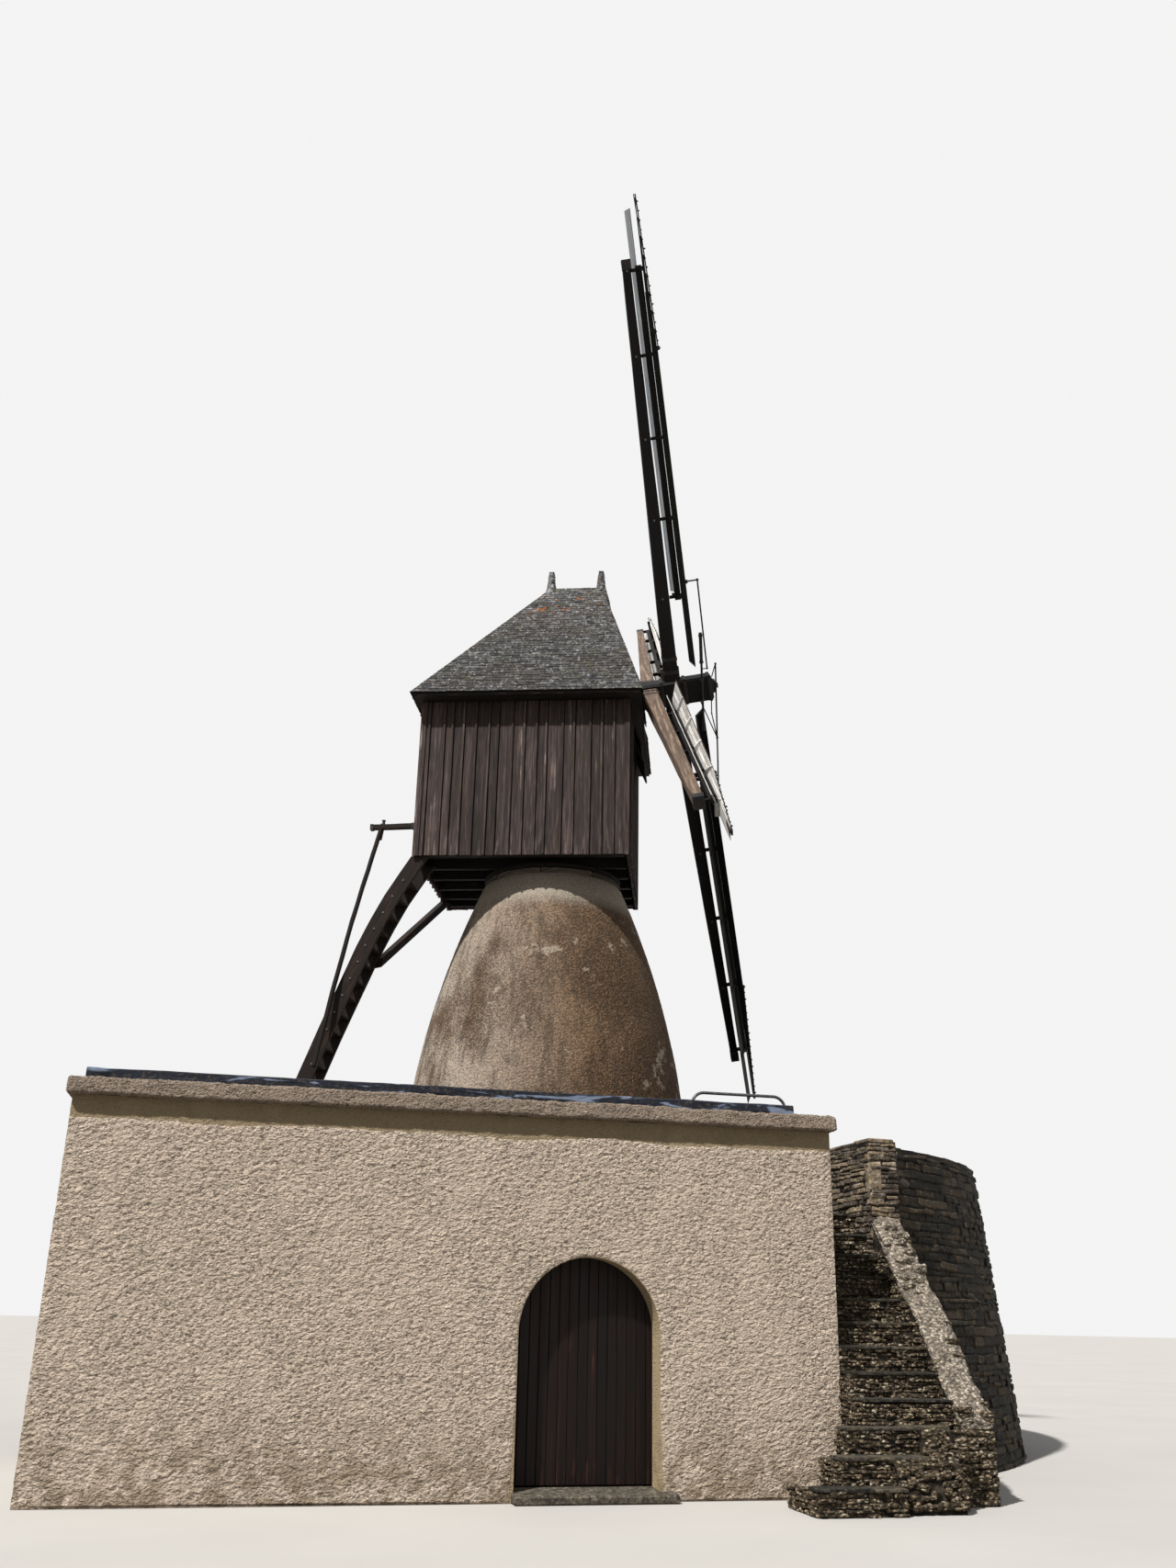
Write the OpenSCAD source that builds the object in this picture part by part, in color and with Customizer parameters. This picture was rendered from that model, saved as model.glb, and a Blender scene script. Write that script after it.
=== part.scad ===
// Hollow-post windmill: front room and earth mound, rendered cone, turning
// timber cabin with slate roof and tail ladder, four slatted sails.
// Origin: cone axis on the ground. +Z up, the front wall faces -Y. Millimetres.

/* [Front room] */
// x of the left end of the front wall
front_left = -5850; // [-6400:10:-5700]
// x of the right end of the front wall, beside the stair
front_right = 1500; // [1450:10:1600]
// y of the outer face of the front wall
front_y = -6790; // [-7000:10:-6600]
// height of the front wall up to the coping
wall_h = 3355; // [3200:5:3500]
// thickness of the walls
wall_t = 450; // [400:10:520]
// y of the room's back wall, outer face
room_back = -2900; // [-3100:10:-2700]
// thickness of the flat roof
slab_t = 200; // [150:10:260]
// height of the coping stones
coping_h = 160; // [120:5:200]
// centre of the doorway
door_x = -988; // [-1200:4:-800]
// width of the doorway
door_w = 1360; // [1200:10:1440]
// height at which the door arch springs
spring_h = 1400; // [1300:10:1500]

/* [Mound and stair] */
// outer radius of the round wall at its top
mound_r = 6000; // [5900:10:6100]
// how far the round wall's foot stands out
batter = 350; // [200:10:450]
// thickness of the round wall at its top
ring_t = 550; // [450:10:650]
// height of the round wall
ring_h = 3420; // [3400:5:3500]
// level of the ground on the mound
terrace_h = 3300; // [3250:5:3350]
// height of one stair riser
riser = 222; // [205:1:225]
// depth of one tread
tread = 240; // [225:1:245]
// width of the stair
stair_w = 920; // [850:10:1000]
// thickness of the slate slabs on the steps
slab_step = 40; // [25:1:60]

/* [Cone] */
// height of the cone's top
cone_top = 7700; // [7600:10:7740]
// radius of the cone's top
cone_r = 1070; // [1000:5:1100]
// wall thickness of the cone
cone_t = 400; // [350:10:450]

/* [Cabin] */
// length of the cabin behind the turning axis
cab_rear = 1930; // [1850:10:2050]
// length of the cabin in front of the turning axis
cab_front = 1260; // [1230:5:1300]
// width of the cabin
cab_w = 2936; // [2800:4:3040]
// height of the lower edge of the cabin walls
cab_z = 7850; // [7830:5:7900]
// height of the eaves
eave_z = 10390; // [10340:5:10400]
// height of the ridge
ridge_z = 13080; // [12900:10:13300]
// thickness of the board walls
board_t = 60; // [45:1:70]
// thickness of the roof slopes
roof_t = 90; // [70:1:110]
// overhang of the roof on the long sides
over_side = 272; // [230:2:320]

/* [Sails] */
// half length of a stock
stock_r = 6716; // [6500:4:6900]
// distance of the plank ends from the windshaft
plank_r = 7540; // [7400:5:7600]
// width of one plank
plank_w = 176; // [160:2:190]
// thickness of one plank
plank_t = 7; // [5:0.5:7.5]
// side of the square windshaft head
head_w = 400; // [380:2:440]
// diameter of the windshaft
shaft_d = 460; // [420:2:480]

/* [Hidden] */
$fn = 96;

yaw = -18.5;
cab_hw = cab_w / 2;
over_rear = 118;
over_front = 186;
rx0 = -cab_rear - over_rear;
rx1 = cab_front + over_front;
ry = cab_hw + over_side;
ridge0 = -165;
ridge1 = 684;
ang_side = atan((ridge_z - eave_z) / ry);
ang_front = atan((ridge_z - eave_z) / (rx1 - ridge1));
ang_rear = atan((ridge_z - eave_z) / (ridge0 - rx0));
soffit_t = 30;
wall_top = eave_z - 2 * soffit_t;
tau = 8.55;
phi = 36.3;
hub = [cab_front + 637, 0, eave_z + 740];
stock_d = 384;
dihedral = 1.63;
landing_z = 12 * riser;
lane_x0 = front_right;
lane_x1 = front_right + stair_w;
stair_y0 = front_y - 1210;
pier_w = 330;
pier_y = stair_y0 + 2260;
well_back = front_y + 2290;
well_front = well_back - 900;
well_wall = 350;
notch_x = front_right - 800;
room_right = front_right - 1200;
top_riser = floor((wall_h - landing_z) / 3);
joint = 2;
seat = 0.3;
leaf_t = 55;
leaf_y = front_y + 255;
leaf_lap = 32;
leaf_z = 110;
hinge = [door_x - door_w / 2 - leaf_lap, leaf_y + leaf_t + 10];
hinge_zs = [380, 1230];
pin_r = 9;

module box(a, b) { translate(a) cube(b - a); }
module cab() { rotate([0, 0, yaw]) children(); }
module sails() { cab() translate(hub) rotate([0, -tau, 0]) children(); }
// wing frame: X away from the hub, Y across the wing, Z to windward
module wing(a) { rotate([a, 0, 0]) rotate([0, -90, 0]) mirror([0, 0, 1]) children(); }

// front room

module doorway_outer() {
  translate([door_x, 0, 0]) rotate([90, 0, 0]) linear_extrude(20000, center = true)
    union() {
      translate([-door_w / 2, -10]) square([door_w, spring_h + 10]);
      translate([0, spring_h]) circle(door_w / 2);
    }
}

module front_wall_left() color([0.80, 0.73, 0.62]) difference() {
  union() {
    box([front_left, front_y, 0], [door_x - door_w / 2, front_y + wall_t, spring_h]);
    box([front_left, front_y, spring_h], [door_x - door_w / 2 - 200, front_y + wall_t, wall_h]);
  }
  rebate();
}

module front_wall_right() color([0.80, 0.73, 0.62]) difference() {
  union() {
    box([door_x + door_w / 2, front_y, 0], [front_right, front_y + wall_t, spring_h]);
    box([door_x + door_w / 2 + 200, front_y, spring_h], [front_right, front_y + wall_t, wall_h]);
  }
  rebate();
}

module front_wall_arch() color([0.80, 0.73, 0.62]) difference() {
  box([door_x - door_w / 2 - 200, front_y, spring_h],
    [door_x + door_w / 2 + 200, front_y + wall_t, wall_h]);
  doorway_outer();
  rebate();
}

// the wider recess behind the arch, into which the door closes
module rebate() {
  box([door_x - door_w / 2 - 62, front_y + 250, -10],
    [door_x + door_w / 2 + 62, front_y + wall_t + 10, spring_h + door_w / 2 + 70]);
}

module left_side_wall() color([0.62, 0.56, 0.48])
  box([front_left, front_y + wall_t, 0], [front_left + wall_t, room_back, wall_h - slab_t]);

module right_side_wall() color([0.62, 0.56, 0.48]) difference() {
  box([room_right, front_y + wall_t, 0], [front_right, room_back, wall_h - slab_t]);
  box([notch_x, well_front, landing_z], [front_right + 10, well_back, wall_h]);
}

module back_wall() color([0.62, 0.56, 0.48])
  box([front_left + wall_t, room_back - wall_t, 0], [room_right, room_back, wall_h - slab_t]);

module room_floor() color([0.55, 0.52, 0.48])
  box([front_left + wall_t, front_y + wall_t, 0], [room_right, room_back - wall_t, 90]);

module flat_roof() color([0.30, 0.30, 0.31]) difference() {
  box([front_left, front_y + wall_t, wall_h - slab_t], [front_right, room_back, wall_h]);
  box([notch_x, well_front, 0], [front_right + 10, well_back, wall_h + 10]);
}

module facade_coping() color([0.60, 0.55, 0.47])
  translate([front_left - 60, 0, 0]) rotate([90, 0, 90])
    linear_extrude(front_right - front_left + 120)
      polygon([[front_y - 80, wall_h], [front_y + 430, wall_h], [front_y + 430, wall_h + coping_h],
        [front_y - 30, wall_h + coping_h], [front_y - 75, wall_h + coping_h - 40]]);

module roof_upstand() color([0.20, 0.22, 0.25])
  box([front_left + 40, front_y + wall_t, wall_h], [front_right - 200, front_y + wall_t + 90, wall_h + 305]);

module roof_rail() color([0.35, 0.36, 0.36]) {
  x0 = front_right - 1270; x1 = front_right - 230; y = front_y + wall_t + 150;
  bend = 130; z = wall_h + 420 - bend;
  translate([x0 + bend, y, z + bend]) rotate([0, 90, 0]) cylinder(r = 16, h = x1 - x0 - 2 * bend);
  for (m = [0, 1]) translate([m == 0 ? x1 : x0, y, 0]) mirror([m, 0, 0]) {
    translate([0, 0, wall_h]) cylinder(r = 16, h = z - wall_h);
    translate([-bend, 0, z]) rotate([90, 0, 0]) rotate_extrude(angle = 90) translate([bend, 0]) circle(16);
  }
}

module door_sill() color([0.62, 0.60, 0.56]) difference() {
  box([door_x - door_w / 2, front_y - 180, 0], [door_x + door_w / 2, front_y + 250, 100]);
  translate([door_x, front_y - 190, 100]) rotate([-12, 0, 0]) translate([-1500, -50, 0])
    cube([3000, 160, 60]);
}

module door_leaf() color([0.20, 0.15, 0.12]) difference() {
  union() {
    translate([door_x, leaf_y + leaf_t, 0]) rotate([90, 0, 0]) linear_extrude(leaf_t)
      union() {
        translate([-door_w / 2 - leaf_lap, leaf_z]) square([door_w + 2 * leaf_lap, spring_h - leaf_z]);
        translate([0, spring_h]) circle(door_w / 2 + leaf_lap);
      }
    for (z = hinge_zs) translate([hinge[0], hinge[1], z]) {
      cylinder(r = 2 * pin_r, h = 90);
      translate([0, -10, 20]) cube([700, 16, 50]);
    }
  }
  for (z = hinge_zs) translate([hinge[0], hinge[1], z - 10]) cylinder(r = pin_r + 0.5, h = 110);
}

// iron pins in the left jamb on which the strap hinges turn
module door_pintles() color([0.12, 0.12, 0.13])
  for (z = hinge_zs) {
    translate([hinge[0], hinge[1], z - 30]) cylinder(r = pin_r, h = 110);
    box([hinge[0] - 30, hinge[1] - 8, z - 30], [hinge[0], hinge[1] + 8, z - 4]);
  }

// mound, round wall and stair

module mound_fill() color([0.33, 0.30, 0.24]) difference() {
  cylinder(r = mound_r - ring_t - joint, h = terrace_h, $fn = 720);
  box([-9000, -9000, -10], [front_right, room_back, 9000]);
  box([front_right - 10, -9000, -10], [lane_x1 + pier_w, well_back + well_wall, 9000]);
}

arc0 = -68;
arc_step = 70;
module round_wall(i) color([0.36, 0.34, 0.32]) difference() {
  rotate([0, 0, arc0 + i * arc_step]) rotate_extrude(angle = arc_step - 0.02, $fn = 720)
    polygon([[mound_r - ring_t, 0], [mound_r + batter, 0], [mound_r, ring_h], [mound_r - ring_t, ring_h]]);
  box([-9000, -9000, -10], [lane_x1 + pier_w, -4000, 9000]);
  box([-9000, -9000, -10], [-2000, room_back, 9000]);
}
module round_wall_1() round_wall(0);
module round_wall_2() round_wall(1);
module round_wall_3() round_wall(2);
module round_wall_4() round_wall(3);

module stair_pier() color([0.38, 0.36, 0.33]) {
  box([lane_x1, pier_y, 0], [lane_x1 + pier_w, well_back + well_wall, ring_h]);
  box([lane_x0, well_back, 0], [lane_x1 - joint, well_back + well_wall, ring_h]);
}

// rubble heaped against the right ends of the two lowest steps
module stair_toe() {
  for (k = [0, 1])
    translate([step_x(k)[1] + 3 * joint, stair_y0 + (k + 1) * tread, 0]) rotate([90, 0, 90])
      linear_extrude(k == 0 ? 600 : 390)
        polygon([[-130, 0], [-joint, 0], [-joint, (k + 1.9) * riser], [-60, (k + 1.7) * riser],
          [-130, (k + 0.8) * riser]]);
}

// x range of each step: the lowest ones fan out to the left
function step_x(i) = i == 0 ? [lane_x0 - 760, lane_x0 + 60]
  : i == 1 ? [lane_x0 - 440, lane_x0 + 420]
  : i == 2 ? [lane_x0 - 270, lane_x0 + 730]
  : i == 3 ? [lane_x0, lane_x1]
  : [lane_x0, lane_x1];
function step_back(i) = i < 3 ? stair_y0 + 3 * tread : stair_y0 + (i + 1) * tread;

// each step is its own block down to the ground
module stair_steps() color([0.38, 0.36, 0.33]) {
  for (i = [0:10]) {
    y = stair_y0 + i * tread;
    box([step_x(i)[0] + joint, y + 20, 0], [step_x(i)[1], y + tread - joint, (i + 1) * riser - slab_step]);
  }
  box([lane_x0 + joint, stair_y0 + 11 * tread + 20, 0], [lane_x1, well_back, landing_z - slab_step]);
  for (k = [0:1])
    box([notch_x + joint, well_front + joint, landing_z + joint + k * top_riser],
      [front_right - 20 - k * 270, well_back - joint, landing_z + (k + 1) * top_riser - slab_step]);
  stair_toe();
}

module stair_slabs() color([0.26, 0.27, 0.28]) {
  for (i = [0:10]) {
    y = stair_y0 + i * tread;
    box([step_x(i)[0] + (i < 3 ? -10 : joint), y, (i + 1) * riser - slab_step],
      [step_x(i)[1] - 2 * joint, y + tread - joint + (i < 10 ? 16 : 0), (i + 1) * riser]);
  }
  box([lane_x0 + joint, stair_y0 + 11 * tread, landing_z - slab_step],
    [lane_x1 - joint, well_back - joint, landing_z]);
  for (k = [0:1])
    box([notch_x + 2 * joint, well_front + 2 * joint, landing_z + (k + 1) * top_riser - slab_step],
      [front_right - k * 270, well_back - 2 * joint, landing_z + (k + 1) * top_riser]);
}

function nose_z(y) = riser * (1 + (y - stair_y0) / tread);
// sloping wall beside the stair: distance from the first riser and height over the steps
parapet_line = [[940, -20], [1180, 90], [1360, 150], [1700, 130], [2000, 210], [2260, 260]];
module stair_parapet() color([0.45, 0.42, 0.38])
  translate([lane_x1 + joint, 0, 0]) rotate([90, 0, 90]) linear_extrude(pier_w - joint)
    polygon(concat([[pier_y - joint, 0], [stair_y0 + 580, 0], [stair_y0 + 640, nose_z(stair_y0 + 640) - 60]],
      [for (p = parapet_line) [min(stair_y0 + p[0], pier_y - joint), nose_z(stair_y0 + p[0]) + p[1]]]));

// cone

function cone_rad(z) = cone_r + 0.436 * (cone_top - z) - 0.0000464 * (cone_top - z) * (cone_top - z);
cone_zs = [for (i = [0:8]) terrace_h + i * (cone_top - terrace_h) / 8];
module tower_cone() color([0.60, 0.50, 0.38]) rotate_extrude($fn = 96)
  polygon(concat([for (z = cone_zs) [cone_rad(z), z]],
    [[cone_r - cone_t, cone_top], [cone_rad(terrace_h) - cone_t, terrace_h]]));

module curb_ring() color([0.25, 0.18, 0.13]) difference() {
  translate([0, 0, cone_top]) cylinder(r = cone_r - 30, h = 95);
  translate([0, 0, cone_top - 10]) cylinder(r = cone_r - cone_t + 20, h = 120);
}

// cabin

module cabin_near_wall() color([0.22, 0.17, 0.15]) cab()
  box([-cab_rear, -cab_hw, cab_z], [cab_front, -cab_hw + board_t, wall_top]);
module cabin_far_wall() color([0.22, 0.17, 0.15]) cab()
  box([-cab_rear, cab_hw - board_t, cab_z], [cab_front, cab_hw, wall_top]);
module cabin_front_wall() color([0.20, 0.16, 0.14]) cab()
  box([cab_front - board_t, -cab_hw + board_t, cab_z], [cab_front, cab_hw - board_t, wall_top]);
module cabin_rear_wall() color([0.20, 0.16, 0.14]) cab() difference() {
  box([-cab_rear, -cab_hw + board_t, cab_z], [-cab_rear + board_t, cab_hw - board_t, wall_top]);
  box([-cab_rear - 10, -1110, cab_z + 200], [-cab_rear + board_t + 10, -310, cab_z + 2000]);
}
module rear_door() color([0.24, 0.19, 0.15]) cab()
  box([-cab_rear + 10, -1104, cab_z + 206], [-cab_rear + board_t - 10, -316, cab_z + 1994]);

module cabin_floor() color([0.16, 0.12, 0.10]) cab()
  box([-cab_rear + board_t, -cab_hw + board_t, cab_z + 150],
    [cab_front - board_t, cab_hw - board_t, cab_z + 190]);

// beams under the floor, turning ring, corner posts and wall plates
sill_w = 110;
joist_ys = [-cab_hw + board_t + 18, -760, -230, 310, 840, cab_hw - board_t - 18 - sill_w];
module cabin_frame() color([0.24, 0.18, 0.14]) cab() {
  for (y = joist_ys)
    box([-cab_rear + board_t, y, cab_z + 10],
      [cab_front - board_t, y + (abs(y) > 1000 ? sill_w : 90), cab_z + 150]);
  difference() {
    translate([0, 0, cone_top + 105]) cylinder(r = cone_r - 10, h = cab_z + 10 - cone_top - 105);
    translate([0, 0, cone_top + 50]) cylinder(r = cone_r - cone_t + 60, h = 300);
  }
  p = 130;
  for (x = [-cab_rear + board_t, cab_front - board_t - p])
    for (y = [-cab_hw + board_t, cab_hw - board_t - p])
      box([x, y, cab_z + 190], [x + p, y + p, wall_top]);
  difference() {
    box([-cab_rear + board_t, -cab_hw + board_t, wall_top - 140],
      [cab_front - board_t, cab_hw - board_t, wall_top - 2]);
    box([-cab_rear + board_t + p, -cab_hw + board_t + p, 0],
      [cab_front - board_t - p, cab_hw - board_t - p, 20000]);
  }
}

module eaves_boards() color([0.20, 0.16, 0.14]) cab() difference() {
  box([rx0 + 12, -ry + 12, wall_top], [rx1 - 12, ry - 12, wall_top + soffit_t]);
  box([-cab_rear + board_t + 130, -cab_hw + board_t + 130, 0],
    [cab_front - board_t - 130, cab_hw - board_t - 130, 20000]);
}

// space below one roof plane
module below_near(t = 0) translate([0, -ry, eave_z]) rotate([ang_side, 0, 0])
  translate([-9000, -9000, -9000 - t]) cube([18000, 20000, 9000]);
module below_far(t = 0) mirror([0, 1, 0]) below_near(t);
module below_front(t = 0) translate([rx1, 0, eave_z]) rotate([0, ang_front, 0])
  translate([-11000, -9000, -9000 - t]) cube([20000, 18000, 9000]);
module below_rear(t = 0) translate([rx0, 0, eave_z]) rotate([0, -ang_rear, 0])
  translate([-9000, -9000, -9000 - t]) cube([20000, 18000, 9000]);
module roof_solid(t = 0) intersection() {
  below_near(t); below_far(t); below_front(t); below_rear(t);
}
module sector(pts) translate([0, 0, wall_top + soffit_t]) linear_extrude(ridge_z - wall_top)
  polygon(pts);

module roof_near_slope() color([0.40, 0.40, 0.39]) cab() difference() {
  intersection() { sector([[rx0, -ry], [rx1, -ry], [ridge1, 0], [ridge0, 0]]); below_near(); }
  below_near(roof_t);
}
module roof_far_slope() color([0.40, 0.40, 0.39]) cab() difference() {
  intersection() { sector([[rx0, ry], [rx1, ry], [ridge1, 0], [ridge0, 0]]); below_far(); }
  below_far(roof_t);
}
module roof_front_hip() color([0.38, 0.38, 0.37]) cab() difference() {
  intersection() { sector([[rx1, -ry], [rx1, ry], [ridge1, 0]]); below_front(); }
  below_front(roof_t);
  box([0, -330, 10000], [3000, 330, hub[2] + 260]);
}
module roof_rear_hip() color([0.38, 0.38, 0.37]) cab() difference() {
  intersection() { sector([[rx0, -ry], [rx0, ry], [ridge0, 0]]); below_rear(); }
  below_rear(roof_t);
}

module ridge_and_finials() color([0.33, 0.33, 0.33]) cab() difference() {
  union() {
    translate([ridge0 + 70, 0, 0]) rotate([90, 0, 90]) linear_extrude(ridge1 - ridge0 - 140)
      polygon([[-90, ridge_z - 120], [-30, ridge_z + 22], [0, ridge_z + 34], [30, ridge_z + 22],
        [90, ridge_z - 120]]);
    for (x = [ridge0, ridge1]) translate([x, 0, ridge_z - 60]) cylinder(r1 = 66, r2 = 42, h = 400);
  }
  roof_solid();
}

module front_apron() color([0.15, 0.12, 0.11]) cab() {
  translate([0, 450, 0]) rotate([90, 0, 0]) linear_extrude(900)
    polygon([[cab_front, wall_top - 5], [cab_front + 40, wall_top - 5],
      [cab_front + 145, wall_top - 330],
      [cab_front + 115, wall_top - 335], [cab_front + 20, wall_top - 40], [cab_front, wall_top - 40]]);
  translate([0, 430, 0]) rotate([90, 0, 0]) linear_extrude(860)
    polygon([[cab_front, wall_top - 250], [cab_front + 52, wall_top - 250],
      [cab_front + 205, wall_top - 640],
      [cab_front + 175, wall_top - 645], [cab_front + 20, wall_top - 290], [cab_front, wall_top - 290]]);
}

// beams that carry the windshaft
module shaft_beams() color([0.24, 0.18, 0.14]) cab() difference() {
  intersection() {
    union() {
      box([cab_front - 330, -cab_hw + board_t, wall_top + soffit_t],
        [cab_front - 60, cab_hw - board_t, hub[2] - 390]);
      box([-900, -cab_hw + board_t, wall_top + soffit_t], [-650, cab_hw - board_t, hub[2] - 630]);
    }
    roof_solid(roof_t + 6);
  }
  translate(hub) rotate([0, -tau, 0]) rotate([0, 90, 0])
    translate([0, 0, -5000]) cylinder(r = shaft_d / 2 + 10, h = 6000);
}

// tail ladder

// upper edge of the curved side beams: [depth under the floor, distance behind the rear wall]
tail_curve = [[seat, 32], [300, 218], [600, 395], [1000, 592], [1400, 768], [1900, 957],
  [2600, 1220], [3200, 1434], [cab_z - terrace_h - 350, 1786]];
tail_near = -cab_hw + 38;
tail_w = 560;
side_w = 60;
function tail_depth(d) = 258 - 12 * d / 1000;
module tail_side(y0) cab() translate([0, y0 + side_w, 0]) rotate([90, 0, 0]) linear_extrude(side_w)
  polygon(concat([for (p = tail_curve) [-cab_rear - p[1], cab_z - p[0]]],
    [for (k = [len(tail_curve) - 1:-1:0])
      [-cab_rear - tail_curve[k][1] + tail_depth(tail_curve[k][0]), cab_z - tail_curve[k][0]]]));
module tail_frame() color([0.26, 0.19, 0.14]) {
  tail_side(tail_near);
  tail_side(tail_near + tail_w - side_w);
  tail_brace();
}
tread_gap = 245;
module tail_treads() color([0.24, 0.18, 0.14]) cab()
  for (k = [0:14]) {
    d = 372 + k * tread_gap;
    x = -cab_rear - lookup(d, tail_curve);
    box([x + 28, tail_near + side_w, cab_z - d - 17],
      [x + tail_depth(d) - 18, tail_near + tail_w - side_w, cab_z - d + 17]);
  }

module beam(p, q, w, h) {
  d = q - p;
  l = norm(d);
  translate(p) rotate([0, acos(d[2] / l), atan2(d[1], d[0])])
    translate([-w / 2, -h / 2, 0]) cube([w, h, l]);
}
brace_top = [-cab_rear + 81, cab_hw - 327, cab_z + 87];
brace_foot = [-cab_rear - 570, tail_near + tail_w - 90, cab_z - 1555];
module tail_brace() cab() difference() {
  beam(brace_foot, brace_top, 110, 110);
  box([-9000, -9000, 0], [9000, tail_near + tail_w + joint, 20000]);
  box([-9000, -9000, cab_z - seat], [9000, 9000, 20000]);
}

lever = [-cab_rear - 730, -1290, cab_z + 483];
module brake_lever() color([0.20, 0.15, 0.12]) cab() {
  box(lever, [-cab_rear, lever[1] + 80, lever[2] + 80]);
  translate(lever + [200, 40, 80]) cylinder(r = 22, h = 70);
}
module brake_pole() color([0.30, 0.23, 0.17]) cab() difference() {
  beam(lever + [170, 28, 0], lever + [-440, -330, -3630], 60, 60);
  box([-9000, -9000, lever[2]], [9000, 9000, 20000]);
}

// sails

module windshaft() color([0.17, 0.13, 0.11]) sails() difference() {
  union() {
    rotate([0, 90, 0]) translate([0, 0, -2750]) cylinder(r = shaft_d / 2, h = 2750 - 560);
    rotate([phi, 0, 0]) translate([-560, -head_w / 2, -head_w / 2]) cube([head_front + 560, head_w, head_w]);
  }
  stock_shape(0, phi);
  stock_shape(-stock_d, phi + 90);
}

st_w = 280;
st_d = 236;
tip_w = 150;
tip_d = 126;
module stock_shape(s, a) {
  off = stock_r * sin(dihedral);
  hb = 260;
  translate([s, 0, 0]) wing(a) intersection() {
    rotate([90, 0, 0]) linear_extrude(st_w * 2, center = true)
      polygon([[-stock_r, off - tip_d / 2], [-hb, -st_d / 2], [hb, -st_d / 2], [stock_r, off - tip_d / 2],
        [stock_r, off + tip_d / 2], [hb, st_d / 2], [-hb, st_d / 2], [-stock_r, off + tip_d / 2]]);
    linear_extrude(3000, center = true)
      polygon([[-stock_r, -tip_w / 2], [-hb, -st_w / 2], [hb, -st_w / 2], [stock_r, -tip_w / 2],
        [stock_r, tip_w / 2], [hb, st_w / 2], [-hb, st_w / 2], [-stock_r, tip_w / 2]]);
  }
}
module stock_outer() color([0.30, 0.22, 0.16]) sails() stock_shape(0, phi);
module stock_inner() color([0.42, 0.31, 0.22]) sails() stock_shape(-stock_d, phi + 90);

// furled planks: ten lie fanned over each other, each one further to windward
plank_n = 10;
fan_t = -180;
fan_s = 310;
fan_step = 30;
fan_pitch = plank_t + 1.5;
fan_tilt = 6;
fan_lean = 0.9;
function plank_in(j) = 485 - 17 * j;
function plank_out(j) = j == 0 ? plank_r - 1340 : plank_r - (j - 1) * 267;
function plank_turn(j) = 0.6 + 0.2 * j;
function plank_left(j, r) = j * fan_step - (r - plank_in(j)) * tan(plank_turn(j));
function plank_right(j, r) = plank_left(j, r) + plank_w / cos(plank_turn(j));

module wing_at(i) {
  sails() translate([i % 2 == 0 ? 0 : -stock_d, 0, 0]) wing(phi + 90 * i) children();
}
// frame of the furled planks: Z is square to them
module fan() { translate([0, fan_t, fan_s]) rotate([fan_tilt, -fan_lean, 0]) children(); }
module across(r, w) translate([r - w / 2, 0, 0]) rotate([90, 0, 90]) linear_extrude(w) children();

module sail_planks() color([0.70, 0.67, 0.62]) for (i = [0:3]) wing_at(i) fan() {
  for (j = [0:plank_n - 1])
    translate([plank_in(j), j * fan_step, j * fan_pitch]) rotate([0, 0, -plank_turn(j)])
      cube([plank_out(j) - plank_in(j), plank_w, plank_t]);
  leading_board();
}

// fixed board beside the planks, turned down towards the stock
board_foot = [245, -95];
board_w = 225;
board_angle = 24;
board_thick = 12;
board_top = board_foot[1] + board_thick / cos(board_angle) + seat;
module leading_board() translate([1600, board_foot[0], board_foot[1]]) rotate([-board_angle, 0, 0])
  cube([plank_r - 1690, board_w, board_thick]);

// cross arm: a stepped bar under the planks, each plank seated on its own step,
// a gusset for the leading board and a post down to the stock
arm_r = [1550, 2800, 4050, 5300, 6550];
arm_w = 50;
arm_d = 45;
post_t = [-68, -14];
function first_plank(r) = r + arm_w < plank_out(0) ? 0 : 1;
function last_plank(r) = max([for (j = [0:plank_n - 1]) if (r + arm_w < plank_out(j)) j]);
function stock_face(r) = r * tan(dihedral) + st_d / 2 + (tip_d - st_d) / 2 * (r - 260) / (stock_r - 260);
module one_arm(r) {
  j0 = first_plank(r);
  j1 = last_plank(r);
  side = 2;
  end_t = plank_right(j1, r) + side;
  fan() across(r, arm_w) {
    polygon(concat(
      [[plank_left(j0, r) - 10, -arm_d], [plank_left(j0, r) - 10, j0 * fan_pitch - seat]],
      [for (j = [j0:j1 - 1], k = [0, 1])
        [plank_right(j, r) + side, (j + k) * fan_pitch - seat]],
      [[end_t, j1 * fan_pitch - seat], [end_t, j1 * fan_pitch - 26],
        [172, -arm_d]]));
    polygon([[160, board_foot[1] + 12], [160, -22], [198, -22], [212, board_foot[1] + 44],
      [board_foot[0] + 190, board_top + 20 - 190 * tan(board_angle)],
      [board_foot[0] + 190, board_top - 190 * tan(board_angle)],
      [board_foot[0], board_top]]);
  }
  top = fan_s + r * tan(fan_lean) - 25;
  translate([0, post_t[1], 0]) rotate([90, 0, 0]) linear_extrude(post_t[1] - post_t[0])
    polygon([[r - 25, stock_face(r - 25) + seat], [r + 25, stock_face(r + 25) + seat],
      [r + 25, top], [r - 25, top]]);
}
// rail along the arms behind the planks
module arm_rail() fan()
  box([arm_r[0] - 60, 108, -110], [arm_r[4] + 60, 172, -arm_d + 5]);
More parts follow.
